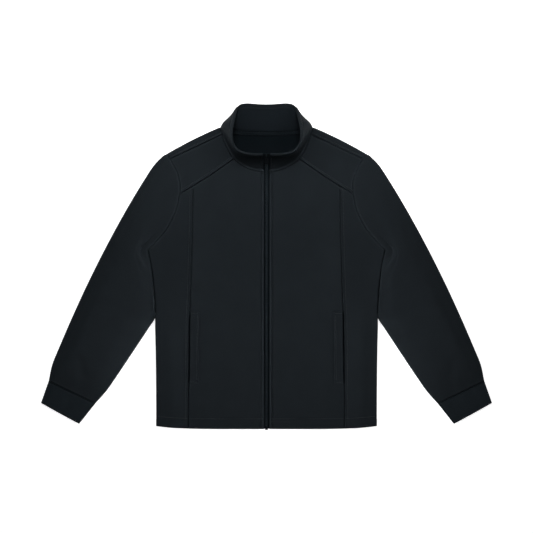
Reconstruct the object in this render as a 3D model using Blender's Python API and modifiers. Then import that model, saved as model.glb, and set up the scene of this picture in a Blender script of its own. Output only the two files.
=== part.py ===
"""A zip-up track jacket in thick double knit, laid flat on its back with the collar standing.

X runs across the jacket, towards the wearer's left. Y runs from the hem to the collar. Z is up.
The origin is on the surface that the jacket lies on, under the middle of its outline.
The tables give one half, x > 0, in millimetres: x from the centre front and h above the hem.
"""

import math

import bmesh
import bpy
import numpy as np
from mathutils import Matrix, Vector

MM = 0.001

# Driving sizes, in millimetres.
CLOTH = 2.2  # one layer of the knit
COLLAR_CLOTH = 4.0  # the collar is folded double
CUFF_CLOTH = 3.0  # so is the cuff, which is stretched thinner
SEAM_GAP = 0.4
UNDERARM_GAP = 0.8
CORNER_EASE = 0.8
FOLD_EASE = 0.5  # more room in the armhole seam where it passes a fold
FOLD = 4.2  # radius of the rolled edge where the front turns over to the back
NECK_POINT_EASE = 2.4  # more room between collar and back where the seam passes the fold
COLLAR_FOOT = 3.4  # the collar leaves the neck seam level, and turns up this far from it
FOLD_SPREAD = 34.0  # how far inwards from that edge the front layer settles
AIR = 2.4  # between the two layers where the front has settled
NECK_LIFT = 4.4  # the standing collar holds the front neck up by this
NECK_SPREAD = 75.0
BODY_TOP = 759.8  # top of the collar above the hem
ZIP_TAIL = 2.6  # the zip's box reaches this far below the hem
MIDDLE = (BODY_TOP - ZIP_TAIL) / 2

HEM_RISE = 7.2  # the hem is this much higher at the side than at the zip
ZIP_HALF = 6.0  # from the centre to a front edge
COLLAR_ZIP_HALF = 8.0  # the same at the collar's top, where the slider spreads it
HALF_TAPE = 14.0
WELT_WIDE = 20.5
WELT_LOW, WELT_HIGH = 106.0, 274.0
POCKET_SLIT = 2.8
TAPE_WIDE = 9.4  # the tape over the back neck seam
TAPE_REACH = 92.0
CUFF_FLAT = 3.8  # the cuff's rolled edge, at its end
LIP = 1.1  # upright part of a fold's edge, beside its seam

NECK_POINT = Vector((110.0, 705.5))
SHOULDER_TIP = Vector((231.0, 645.0))
UNDERARM = Vector((279.0, 418.0))
YOKE_NECK, YOKE_ARM = Vector((77.0, 631.5)), Vector((202.6, 550.0))
YOKE_SAG = 2.6
STRIP_NECK, STRIP_ARM = Vector((104.6, 688.5)), Vector((225.6, 631.5))
CUFF_OUTER, CUFF_INNER = Vector((510.0, 112.0)), Vector((400.5, 59.5))
CUFF_END_OUTER, CUFF_END_INNER = Vector((527.0, 64.0)), Vector((436.5, 14.5))

# x, h
ARMHOLE = (
    (231.0, 645.0),
    (225.6, 631.5),
    (209.0, 601.0),
    (202.0, 573.0),
    (202.6, 550.0),
    (211.0, 512.0),
    (221.0, 489.5),
    (235.0, 465.0),
    (255.5, 441.0),
    (279.0, 418.0),
)
# h, x
SIDE = (
    (0.0, 258.0),
    (101.0, 258.3),
    (172.0, 259.0),
    (255.0, 261.0),
    (312.0, 263.5),
    (351.0, 267.0),
    (381.0, 270.6),
    (418.0, 278.0),
)
# h, x
PRINCESS = (
    (0.0, 183.0),
    (103.0, 182.5),
    (260.0, 180.9),
    (302.0, 178.3),
    (418.0, 174.6),
    (566.0, 171.3),
)
# x, h
NECK_FRONT = (
    (6.0, 601.0),
    (26.0, 604.0),
    (44.5, 610.0),
    (62.7, 620.5),
    (77.0, 631.5),
    (90.0, 653.0),
    (101.0, 677.0),
    (104.6, 688.5),
    (110.0, 705.5),
)
NECK_BACK = (
    (110.0, 705.5),
    (92.0, 702.0),
    (56.0, 698.0),
    (0.0, 696.0),
)
# x, h: from the shoulder tip to the cuff, and from the underarm to the cuff
SLEEVE_OUTER = (
    (231.0, 645.0),
    (243.5, 638.0),
    (257.5, 624.0),
    (271.5, 603.5),
    (293.5, 569.5),
    (321.5, 522.5),
    (360.5, 452.5),
    (408.5, 359.0),
    (452.0, 265.5),
    (492.5, 171.5),
    (501.5, 148.5),
    (508.5, 125.0),
    (510.0, 112.0),
)
SLEEVE_FORK = Vector((262.6, 259.5))
SLEEVE_FORK_OUTER = 363.0  # along the outer edge, level with the fork
SLEEVE_LOWER = (
    (262.6, 259.5),
    (275.0, 240.5),
    (335.5, 149.0),
    (384.5, 78.0),
    (400.5, 59.5),
)
UNDERARM_TURN = 2.4  # the armhole seam drops round the fold within this of its end
UNDERARM_EASE = 1.0  # more room there, running out down the side
SIDE_CLEAR = 0.6  # between the body's side and the sleeve that lies against it
TUCKED_FOLD = 2.7  # radius of the sleeve's edge there

# The collar's top edge against the length along the neck seam from the zip:
# along, x, h, z, bulge outwards half-way up
COLLAR = (
    (0.0, 6.0, 640.3, 52.0, -2.5),
    (20.0, 21.6, 638.8, 53.0, -3.0),
    (40.0, 39.2, 639.0, 56.0, -2.5),
    (61.0, 54.8, 641.5, 60.5, -1.5),
    (81.0, 68.0, 648.0, 64.0, -0.5),
    (105.0, 78.2, 661.1, 65.5, 1.0),
    (130.0, 81.8, 677.4, 63.5, 2.0),
    (150.0, 80.6, 694.7, 58.0, 3.0),
    (159.0, 77.3, 711.4, 49.0, 4.0),
    (167.0, 73.1, 728.7, 35.5, 4.0),
    (179.0, 68.5, 744.9, 20.5, 2.0),
    (195.0, 59.8, 755.8, 9.5, 0.5),
    (214.0, 47.5, 759.6, 4.5, 0.0),
    (234.0, 32.0, 759.4, 2.6, 0.0),
    (252.0, 16.0, 758.2, 1.6, 0.0),
    (270.0, 0.0, 757.7, 1.2, 0.0),
)
# Broad soft folds of the front layer: from x, h, to x, h, half width, height
BODY_FOLDS = (
    (262.0, 402.0, 206.0, 352.0, 24.0, 1.2),
    (226.0, 452.0, 196.0, 372.0, 26.0, -1.5),
    (240.0, 300.0, 214.0, 150.0, 34.0, 1.0),
    (150.0, 318.0, 60.0, 372.0, 30.0, 0.9),
    (120.0, 210.0, 70.0, 60.0, 38.0, -0.9),
    (96.0, 560.0, 110.0, 430.0, 40.0, 1.0),
)
# The same for a sleeve, by the share of its length and the share of its width:
# from length, width, to length, width, half width in millimetres, height
SLEEVE_FOLDS = (
    (0.06, 0.30, 0.96, 0.26, 17.0, -2.0),
    (0.10, 0.70, 0.60, 0.66, 34.0, 1.6),
    (0.60, 0.66, 0.97, 0.62, 26.0, 1.3),
    (0.80, 0.30, 0.93, 0.60, 13.0, -1.0),
)

UNDERARM_SHARES = (0.30, 0.56, 0.77, 0.91, 1.0)  # points from the yoke seam to the underarm
# Rings of the sleeve, as shares of its length. It leaves the body's side at the fork.
SLEEVE_RINGS = (0.0, 0.008, 0.018, 0.06, 0.12, 0.2, 0.27, 0.34, 0.42, 0.5)
ROUND_TO = 0.02  # the first ones keep beside the armhole
SLEEVE_RINGS += (0.56, 0.62, 0.69, 0.76, 0.84, 0.92, 1.0)
FORK_SHARE = 0.5
SLEEVE_NET_LONG, SLEEVE_NET_WIDE, SLEEVE_NET_ROUNDS = 48, 40, 1500
COLLAR_ROWS = 6
BODY_ROWS = (0.0, 22.0, 64.0, 106.0, 148.0, 190.0, 232.0, 274.0, 322.0, 356.0, 388.0, 418.0)
WIDE_COLUMNS = 3.5  # the columns that roll round the fold below stand this much wider above
ROWS_ABOVE = 6  # rows of the front between the underarm and the yoke

SLIDER_LONG, SLIDER_WIDE, SLIDER_THICK = 13.0, 11.4, 1.5
SLIDER_FROM_TOP = 8.0  # its middle, down the zip from the collar's top edge
BRIDGE_HIGH, BRIDGE_LONG, BRIDGE_WIRE = 4.9, 8.0, 0.85
PULL_WIRE = 0.65  # half the thickness of the pull tab
PULL_LONG, PULL_WIDE, PULL_TIP_WIDE = 22.0, 8.6, 11.2
PULL_EYE_LONG, PULL_EYE_WIDE = 6.4, 4.6

# linear colour, roughness, metallic
FINISHES = {
    "double_knit": ((0.0137, 0.0168, 0.0194), 0.85, 0.0),
    "woven_tape": ((0.010, 0.012, 0.014), 0.7, 0.0),
    "black_casting": ((0.012, 0.013, 0.015), 0.35, 0.6),
}


def smoothstep(value, low, high):
    t = min(1.0, max(0.0, (value - low) / (high - low)))
    return t * t * (3 - 2 * t)


def mix(a, b, t):
    return a + (b - a) * t


def read(table, at):
    """The table's other columns at a value of its first, on a smooth line through its rows."""
    keys = [row[0] for row in table]
    at = min(max(at, keys[0]), keys[-1])
    i = max(k for k in range(len(keys) - 1) if keys[k] <= at)
    span = keys[i + 1] - keys[i]
    t = (at - keys[i]) / span

    def slope(k, column):
        a, b = max(k - 1, 0), min(k + 1, len(keys) - 1)
        return (table[b][column] - table[a][column]) / (keys[b] - keys[a])

    values = []
    for column in range(1, len(table[0])):
        p, q = table[i][column], table[i + 1][column]
        rise = (slope(i, column) * span, slope(i + 1, column) * span)
        values.append(
            (2 * t**3 - 3 * t**2 + 1) * p
            + (t**3 - 2 * t**2 + t) * rise[0]
            + (3 * t**2 - 2 * t**3) * q
            + (t**3 - t**2) * rise[1]
        )
    return values


class Line:
    """A smooth line through a short table of plan points, read by the length along it."""

    STEPS = 12

    def __init__(self, table):
        knots = [Vector(p) for p in table]
        along = [0.0]
        for a, b in zip(knots, knots[1:]):
            along.append(along[-1] + (b - a).length)
        rows = [(s, p.x, p.y) for s, p in zip(along, knots)]
        count = self.STEPS * (len(knots) - 1)
        self.points = [Vector(read(rows, along[-1] * k / count)) for k in range(count + 1)]
        self.reach = [0.0]
        for a, b in zip(self.points, self.points[1:]):
            self.reach.append(self.reach[-1] + (b - a).length)
        self.length = self.reach[-1]

    def at(self, distance):
        distance = min(max(distance, 0.0), self.length)
        i = max(k for k in range(len(self.reach) - 1) if self.reach[k] <= distance)
        t = (distance - self.reach[i]) / (self.reach[i + 1] - self.reach[i])
        return self.points[i].lerp(self.points[i + 1], t)

    def normal(self, distance):
        """Sideways from the line, to the left of its run."""
        run = self.at(distance + 3.0) - self.at(distance - 3.0)
        return Vector((-run.y, run.x)).normalized()

    def along(self, point):
        """The length at which the line is nearest to the point."""
        nearest = min(range(len(self.points)), key=lambda k: (self.points[k] - point).length)
        return self.reach[nearest]

    def distance(self, point):
        return min((p - point).length for p in self.points)


armhole = Line(ARMHOLE)
neck_front = Line(NECK_FRONT)
neck_back = Line(NECK_BACK)
sleeve_outer = Line(SLEEVE_OUTER)
sleeve_lower = Line(SLEEVE_LOWER)


def side_x(h):
    return read(SIDE, h)[0]


def side_chord(h):
    """The side's edge as the body's rows have it, straight from one row to the next."""
    above = next(k for k, row in enumerate(BODY_ROWS) if row >= h)
    low, high = BODY_ROWS[max(above - 1, 0)], BODY_ROWS[max(above, 1)]
    return mix(side_x(low), side_x(high), (h - low) / (high - low))


def princess_x(h):
    return read(PRINCESS, h)[0]


def hem_h(x):
    return HEM_RISE * (abs(x) / SIDE[0][1]) ** 5


def yoke_point(share):
    """A point of the yoke seam, from the neck to the armhole."""
    point = YOKE_NECK.lerp(YOKE_ARM, share)
    return point - Vector((0.0, 4 * YOKE_SAG * share * (1 - share)))


def to_segment(point, a, b):
    """Distance from a point to a straight run, and the share of the run where that is."""
    run = b - a
    share = min(1.0, max(0.0, (point - a).dot(run) / run.length_squared))
    return (point - a.lerp(b, share)).length, share


def edge_distance(point):
    """How far inside the body's rolled edge a plan point is: the side, or the shoulder."""
    x, h = point
    side = side_x(h) - x if h <= UNDERARM.y else (UNDERARM - point).length
    return max(0.0, min(side, to_segment(point, NECK_POINT, SHOULDER_TIP)[0]))


def rolled(distance, radius):
    """Height of a rolled edge's upper half above its middle, at a distance inside the edge."""
    return math.sqrt(max(0.0, radius**2 - (radius - min(distance, radius)) ** 2))


def soft_fold(distance, share, half_width, height):
    """A ridge's height beside its line, running out at both ends."""
    ends = smoothstep(share, 0.0, 0.35) * smoothstep(1 - share, 0.0, 0.35)
    return height * ends * math.exp(-((distance / half_width) ** 2))


def front_height(x, h):
    """Top of the front layer above the surface that the jacket lies on."""
    point = Vector((abs(x), h))
    inside = edge_distance(point)
    settled = 2 * CLOTH + AIR
    for x0, h0, x1, h1, half_width, height in BODY_FOLDS:
        distance, share = to_segment(point, Vector((x0, h0)), Vector((x1, h1)))
        settled += soft_fold(distance, share, half_width, height)
    top = mix(2 * FOLD, settled, smoothstep(inside, FOLD, FOLD + FOLD_SPREAD))
    held = 1 - smoothstep(neck_front.distance(point), 0.0, NECK_SPREAD)
    top += NECK_LIFT * held * (1 - smoothstep(h, 640.0, NECK_POINT.y - 8))
    return top - FOLD + rolled(inside, FOLD)


def back_height(x, h):
    """Underside of the back layer: flat, and rolled up at its edges."""
    return FOLD - rolled(edge_distance(Vector((abs(x), h))), FOLD)


def spatial(point, height):
    return Vector((point.x, point.y, height))


def on_front(point):
    return spatial(point, front_height(*point))


def on_back(point):
    return spatial(point, back_height(*point))


# Where the pieces that meet at a seam have their points, as lengths along it.
ROLL = (0.0, FOLD * (1 - math.sqrt(0.5)), FOLD)  # round the rolled edge, at 90, 45 and 0 degrees
STRIP_AT, YOKE_AT = armhole.along(STRIP_ARM), armhole.along(YOKE_ARM)
ARM_END = armhole.length


def spaced(start, end, count):
    return [mix(start, end, k / count) for k in range(1, count + 1)]


ARM_STATIONS = [
    *ROLL,
    *spaced(FOLD, STRIP_AT, 2),
    *spaced(STRIP_AT, YOKE_AT, 5),
    *(mix(YOKE_AT, ARM_END - UNDERARM_TURN, share) for share in UNDERARM_SHARES),
    ARM_END - UNDERARM_TURN / 2,
    ARM_END,
]
STRIP_INDEX, YOKE_INDEX = 4, 9
arm_points = [armhole.at(s) for s in ARM_STATIONS]

NECK_YOKE = neck_front.along(YOKE_NECK)
NECK_STRIP = neck_front.along(STRIP_NECK)
NECK_END = neck_front.length
NECK_STATIONS = [
    0.0,
    *spaced(0.0, NECK_YOKE, 4),
    *spaced(NECK_YOKE, NECK_STRIP, 5),
    *spaced(NECK_STRIP, NECK_END - FOLD, 2),
    NECK_END - ROLL[1],
    NECK_END,
]
neck_points = [neck_front.at(s) for s in NECK_STATIONS]
BACK_STATIONS = [*ROLL, *spaced(FOLD, neck_back.length, 4)]
back_neck_points = [neck_back.at(s) for s in BACK_STATIONS]


def piece_material(name, finish):
    """A piece's own material, in one of the finishes."""
    colour, roughness, metallic = FINISHES[finish]
    material = bpy.data.materials.new(f"{name}_{finish}")
    material.use_nodes = True
    shader = material.node_tree.nodes["Principled BSDF"]
    shader.inputs["Base Color"].default_value = (*colour, 1.0)
    shader.inputs["Roughness"].default_value = roughness
    shader.inputs["Metallic"].default_value = metallic
    return material


def new_object(name, mesh, finish):
    mesh.materials.append(piece_material(name, finish))
    piece = bpy.data.objects.new(name, mesh)
    jacket.objects.link(piece)
    return piece


def cloth_mesh(name, rows, closed=False, flip=False):
    """A surface through rows of points, in millimetres. Rows can be joined end to end."""
    shape = bmesh.new()
    grid = [
        [shape.verts.new((p.x * MM, (p.y - MIDDLE) * MM, p.z * MM)) for p in row] for row in rows
    ]
    for lower, upper in zip(grid, grid[1:]):
        for k in range(len(lower) - (0 if closed else 1)):
            n = (k + 1) % len(lower)
            corners = [lower[k], lower[n], upper[n], upper[k]]
            shape.faces.new(corners[::-1] if flip else corners)
    mesh = bpy.data.meshes.new(name)
    shape.to_mesh(mesh)
    shape.free()
    mesh.shade_smooth()
    return mesh


def thicken(piece, thickness):
    """The cloth's thickness, on the inner side of its outer face."""
    wall = piece.modifiers.new("cloth", "SOLIDIFY")
    wall.thickness = thickness * MM
    wall.offset = -1.0


def mirrored(piece):
    other_half = piece.modifiers.new("other half", "MIRROR")
    other_half.use_clip = True
    other_half.merge_threshold = 0.0001


def towards(point, other, distance=SEAM_GAP / 2):
    return point + (other - point).normalized() * distance


def inset(rows, left=False, right=False, first=False, last=False):
    """Draws the named edges of a patch in by half a seam's gap."""
    rows = [list(row) for row in rows]
    for row in rows:
        if left:
            row[0] = towards(row[0], row[1])
        if right:
            row[-1] = towards(row[-1], row[-2])
    if first:
        rows[0] = [towards(p, q) for p, q in zip(rows[0], rows[1])]
    if last:
        rows[-1] = [towards(p, q) for p, q in zip(rows[-1], rows[-2])]
    return rows


def upright_edge(rows, last, rise):
    """Ends the rows with an upright lip where they stop half-way round the side's fold.

    Both pieces then face each other squarely there, through the whole of the cloth.
    """
    finished = []
    for j, row in enumerate(rows):
        edge = row[-1]
        if last >= 0:
            ease = CORNER_EASE * (1 - smoothstep(abs(j - last - 0.5), 0.5, 2.5))
            edge = edge - Vector((ease, 0.0, 0.0))
        if j <= last:
            gap = SEAM_GAP / 2 if j < last else SEAM_GAP / 2 + FOLD_EASE
            lip = [edge + Vector((0.0, 0.0, height * rise)) for height in (LIP + gap, gap)]
        else:
            lip = [edge.lerp(row[-2], 0.5), towards(edge, row[-2])]
        finished.append(row[:-1] + lip)
    return finished


def on_side(rows, side):
    """The rows for the wearer's left, side 1, or right, side -1."""
    return [[Vector((p.x * side, p.y, p.z)) for p in row] for row in rows]


def cloth_panel(name, rows, side, finish, thickness=CLOTH, closed=False):
    mesh = cloth_mesh(name, on_side(rows, side), closed, flip=side < 0)
    piece = new_object(name, mesh, finish)
    thicken(piece, thickness)
    return piece


def across(a, b, shares):
    return [a.lerp(b, s) for s in shares]


# Shares of the way from the neck to the armhole, for the strip and the yoke.
SHOULDER_LONG = (SHOULDER_TIP - NECK_POINT).length
SHOULDER_SHARES = [
    0.0,
    *spaced(0.0, 1 - FOLD / SHOULDER_LONG, 4),
    1 - ROLL[1] / SHOULDER_LONG,
    1.0,
]


def back_rows():
    """Half of the back, from the hem to the neck and the shoulder, and over it to the strip seam."""
    right = [Vector((side_x(h), max(h, hem_h(side_x(h))))) for h in BODY_ROWS]
    right += arm_points[-3::-1]
    count = len(right) - 1
    lower = len(BODY_ROWS) - 1
    neck_h = NECK_BACK[-1][1]
    left = [Vector((0.0, h)) for h in BODY_ROWS]
    left += [Vector((0.0, h)) for h in spaced(UNDERARM.y, neck_h - FOLD, count - lower - 2)]
    left += [Vector((0.0, neck_h - ROLL[1])), Vector((0.0, neck_h))]
    top = back_neck_points[::-1] + across(NECK_POINT, SHOULDER_TIP, SHOULDER_SHARES)[1:]
    reach = [0.0]
    for a, b in zip(top, top[1:]):
        reach.append(reach[-1] + (b - a).length)
    shares = [s / reach[-1] for s in reach]
    hem_long = side_x(0.0)
    bottom = []
    for k, share in enumerate(shares):
        from_edge = len(shares) - 1 - k
        x = hem_long - ROLL[from_edge] if from_edge < 3 else share * hem_long
        bottom.append(Vector((x, hem_h(x))))
    rows = []
    for j in range(count + 1):
        v = j / count
        row = []
        for k, u in enumerate(shares):
            u_low = bottom[k].x / hem_long
            u_here = mix(u_low, u, smoothstep(j, 0, count))
            edges = left[j].lerp(right[j], u_here)
            ends = bottom[k].lerp(top[k], v)
            corners = left[0].lerp(right[0], u_here).lerp(left[-1].lerp(right[-1], u_here), v)
            row.append(edges + ends - corners)
        rows.append(row)
    for row, edge in zip(rows[: lower + 1], right):
        for step, distance in enumerate(ROLL):
            row[-1 - step] = Vector((edge.x - distance, row[-1 - step].y))
    for j in range(lower + 1, count):
        wide = mix(WIDE_COLUMNS, 1.0, smoothstep(j, lower + 4, count - 3))
        for step in (1, 2):
            rows[j][-1 - step] = towards(rows[j][-1], rows[j][-4], wide * ROLL[step])
    grid = [[on_back(p) for p in row] for row in rows]
    return upright_edge(grid, lower, -1)


def back_strip_rows():
    """The back's strip over the shoulder, from the rolled edge to the strip seam on the front."""
    necks = neck_points[: -STRIP_INDEX - 2 : -1]
    arms = arm_points[: STRIP_INDEX + 1]
    rows = [across(a, b, SHOULDER_SHARES) for a, b in zip(necks, arms)]
    return [[on_front(p) for p in row] for row in rows]


def make_back(finish):
    """One piece of cloth: the back and its strips over the shoulders."""
    body = back_rows()
    strip = back_strip_rows()
    necks = len(BACK_STATIONS) - 1
    body[-1] = [towards(p, q) if k < necks else p for k, (p, q) in enumerate(zip(body[-1], body[-2]))]
    strip = upright_edge(inset(strip, left=True, last=True), -1, 1)
    body[-1][necks:] = strip[0]
    shape = bmesh.new()
    for rows, flip in ((body, True), (strip, True)):
        half = cloth_mesh("half", rows, flip=flip)
        shape.from_mesh(half)
        bpy.data.meshes.remove(half)
    bmesh.ops.remove_doubles(shape, verts=shape.verts, dist=1e-5)
    mesh = bpy.data.meshes.new("back")
    shape.to_mesh(mesh)
    shape.free()
    mesh.shade_smooth()
    piece = new_object("back", mesh, finish)
    mirrored(piece)
    thicken(piece, CLOTH)


def make_yoke(side_name, side, finish):
    necks = neck_points[4:10][::-1]
    arms = arm_points[STRIP_INDEX : YOKE_INDEX + 1]
    rows = [across(a, b, SHOULDER_SHARES) for a, b in zip(necks, arms)]
    rows[-1] = [yoke_point(s) for s in SHOULDER_SHARES]
    grid = [[on_front(p) for p in row] for row in rows][::-1]
    grid = inset(grid, left=True, right=True, first=True, last=True)
    cloth_panel(f"yoke_{side_name}", grid, side, finish)


PRINCESS_SHARE = (PRINCESS[-1][1] - YOKE_NECK.x) / (YOKE_ARM.x - YOKE_NECK.x)
WELT_COLUMNS = 2


def princess_points():
    """Points of the seam between the two front panels, from the hem to the yoke."""
    points = [Vector((princess_x(h), max(h, hem_h(princess_x(h))))) for h in BODY_ROWS]
    top = yoke_point(PRINCESS_SHARE)
    return points + [points[-1].lerp(top, s) for s in spaced(0.0, 1.0, ROWS_ABOVE)]


def front_rows():
    """The centre front, whose last columns lie under the pocket's welt."""
    seam = princess_points()
    lower = len(BODY_ROWS) - 1
    yoke_columns = 5
    yoke_shares = [0.0, *spaced(0.0, PRINCESS_SHARE, yoke_columns)]
    top = neck_points[:4] + [yoke_point(s) for s in yoke_shares]
    columns = len(top) - 1
    plain = columns - WELT_COLUMNS
    rows = []
    for j, (h, edge) in enumerate(zip(BODY_ROWS, seam)):
        open_here = WELT_LOW < h < WELT_HIGH
        edge_x = edge.x - (POCKET_SLIT if open_here else SEAM_GAP / 2)
        inner = edge.x - POCKET_SLIT - WELT_WIDE
        xs = [mix(ZIP_HALF, inner, k / plain) for k in range(plain + 1)]
        xs += spaced(inner, edge_x, WELT_COLUMNS)
        rows.append([Vector((x, max(h, hem_h(x)) if j else hem_h(x))) for x in xs])
    base = [Vector(p) for p in rows[-1]]
    for s in spaced(0.0, 1.0, ROWS_ABOVE):
        rows.append([a.lerp(b, s) for a, b in zip(base, top)])
    for row, edge in zip(rows[lower + 1 :], seam[lower + 1 :]):
        row[-1] = edge - Vector((SEAM_GAP / 2, 0.0))
    grid = [[on_front(p) for p in row] for row in rows]
    return inset(grid, last=True), plain


def make_front(side_name, side, finish):
    grid, plain = front_rows()
    cloth_panel(f"front_{side_name}", grid, side, finish)
    first, last = BODY_ROWS.index(WELT_LOW), BODY_ROWS.index(WELT_HIGH)
    lift = Vector((0.0, 0.0, SEAM_GAP + CLOTH))
    welt = [[p + lift for p in row[plain:]] for row in grid[first : last + 1]]
    for row, h in zip(welt, BODY_ROWS[first:]):
        row[-1].x = princess_x(h) - POCKET_SLIT
    cloth_panel(f"pocket_welt_{side_name}", welt, side, finish)


def make_side(side_name, side, finish):
    left = princess_points()
    right = [Vector((side_x(h), max(h, hem_h(side_x(h))))) for h in BODY_ROWS]
    right += arm_points[YOKE_INDEX:-2][::-1]
    interior = 3
    rows = []
    for j, (a, b) in enumerate(zip(left, right)):
        long = (b - a).length
        wide = 1.0 if j < len(BODY_ROWS) else WIDE_COLUMNS
        inner, near = 1 - wide * FOLD / long, 1 - wide * ROLL[1] / long
        rows.append(across(a, b, [0.0, *spaced(0.0, inner, interior + 1), near, 1.0]))
    rows[0] = [Vector((p.x, hem_h(p.x))) for p in rows[0]]
    shares = [s for s in SIDE_TOP_SHARES]
    rows[-1] = [yoke_point(mix(PRINCESS_SHARE, 1.0, s)) for s in shares]
    grid = [[on_front(p) for p in row] for row in rows]
    grid = upright_edge(inset(grid, left=True, last=True), len(BODY_ROWS) - 1, 1)
    cloth_panel(f"side_{side_name}", grid, side, finish)


SIDE_TOP_SHARES = (0.0, 0.25, 0.5, 0.75, 0.86, 0.95, 1.0)


def sleeve_inner(distance):
    """The sleeve's inner edge: down the body's side to the fork, and then to the cuff."""
    beside = UNDERARM.y - SLEEVE_FORK.y
    if distance <= beside:
        h = UNDERARM.y - distance
        clear = SIDE_CLEAR + UNDERARM_EASE * (1 - smoothstep(distance, 0.0, 45.0))
        return Vector((side_chord(h) + clear, h))
    return sleeve_lower.at(distance - beside)


def sleeve_end(v, edge):
    """Where a section of the sleeve starts at its outer edge, 0, or ends at its inner edge, 1."""
    beside = UNDERARM.y - SLEEVE_FORK.y
    if v <= FORK_SHARE:
        s = v / FORK_SHARE
        return sleeve_inner(s**0.75 * beside) if edge else sleeve_outer.at(s * SLEEVE_FORK_OUTER)
    s = (v - FORK_SHARE) / (1 - FORK_SHARE)
    if edge:
        return sleeve_inner(beside + s * sleeve_lower.length)
    return sleeve_outer.at(mix(SLEEVE_FORK_OUTER, sleeve_outer.length, s))


def sleeve_plan():
    """A net over the sleeve's plan, relaxed until its lines run round the underarm in order."""
    rows = SLEEVE_NET_LONG
    columns = SLEEVE_NET_WIDE
    net = np.zeros((rows + 1, columns + 1, 2))
    for j in range(rows + 1):
        a, b = sleeve_end(j / rows, 0), sleeve_end(j / rows, 1)
        for k in range(columns + 1):
            u = k / columns
            if j == 0:
                net[j, k] = armhole.at(u * ARM_END)
            else:
                net[j, k] = a.lerp(b, u)
    for _ in range(SLEEVE_NET_ROUNDS):
        down = (net[2:, 1:-1] - net[:-2, 1:-1]) / 2
        over = (net[1:-1, 2:] - net[1:-1, :-2]) / 2
        alpha = (over**2).sum(axis=2, keepdims=True)
        gamma = (down**2).sum(axis=2, keepdims=True)
        beta = (down * over).sum(axis=2, keepdims=True)
        twist = net[2:, 2:] - net[:-2, 2:] - net[2:, :-2] + net[:-2, :-2]
        along = alpha * (net[2:, 1:-1] + net[:-2, 1:-1]) + gamma * (net[1:-1, 2:] + net[1:-1, :-2])
        net[1:-1, 1:-1] = (along - beta / 2 * twist) / (2 * (alpha + gamma))
    return net


def beside_armhole(a, b):
    """A line that follows the armhole from the outer edge at a, and round the underarm to b."""
    count = 40
    outer, inner = (a - SHOULDER_TIP).length, (b - UNDERARM).length
    points = []
    for k in range(count + 1):
        u = k / count
        points.append(armhole.at(u * ARM_END) + armhole.normal(u * ARM_END) * mix(outer, inner, u))
    shift = a - points[0]
    points = [p + shift * (1 - k / count) ** 2 for k, p in enumerate(points)]
    start = armhole.normal(ARM_END)
    turn = start.angle_signed((b - UNDERARM).normalized())
    for k in range(1, 11):
        angle = math.atan2(start.y, start.x) - turn * k / 10
        points.append(UNDERARM + inner * Vector((math.cos(angle), math.sin(angle))))
    return points


def sleeve_section(v):
    """The plan line across the sleeve at a share of its length."""
    if 0 < v <= ROUND_TO:
        return beside_armhole(sleeve_end(v, 0), sleeve_end(v, 1))
    row = v * SLEEVE_NET_LONG
    low = min(int(row), SLEEVE_NET_LONG - 1)
    points = mix(sleeve_net[low], sleeve_net[low + 1], row - low)
    points = [Vector(p) for p in points]
    if v > 0:
        points = [round_underarm(p, sleeve_end(v, 1)) for p in points]
        points[0], points[-1] = sleeve_end(v, 0), sleeve_end(v, 1)
    return points


def round_underarm(point, end):
    """Keeps a section clear of the underarm by half of what its end has moved down the side."""
    away = point - UNDERARM
    clear = min(22.0, 0.6 * (end - UNDERARM).length)
    return UNDERARM + away.normalized() * (away.length**4 + clear**4) ** 0.25


def dense_reach(points):
    reach = [0.0]
    for a, b in zip(points, points[1:]):
        reach.append(reach[-1] + (b - a).length)
    return reach


def sleeve_height(v, share, from_outer, from_inner, width):
    """Top of a sleeve at a share of its length and width."""
    inner_roll = mix(FOLD, TUCKED_FOLD, smoothstep(v, 0.0, 0.12) * (1 - smoothstep(v, 0.46, 0.62)))
    settled = 2 * CLOTH + AIR
    for v0, u0, v1, u1, half_width, height in SLEEVE_FOLDS:
        along = (v - v0) / (v1 - v0)
        beside = (share - mix(u0, u1, min(1.0, max(0.0, along)))) * width
        if 0 < along < 1:
            settled += soft_fold(beside, along, half_width, height)
    spread = min(FOLD_SPREAD, 0.28 * width)
    top = mix(2 * FOLD, settled, smoothstep(from_outer, FOLD, spread))
    top = mix(2 * inner_roll, top, smoothstep(from_inner, inner_roll, spread))
    return top, inner_roll


def squareness(v, at, edge):
    """The sine of the angle between a ring's end and the sleeve's edge that it runs to."""
    step = 0.02
    low, high = max(0.0, v - step), min(1.0, v + step)
    run = (sleeve_end(high, edge) - sleeve_end(low, edge)).normalized()
    return max(0.35, abs(run.cross(at.normalized())))


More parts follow.
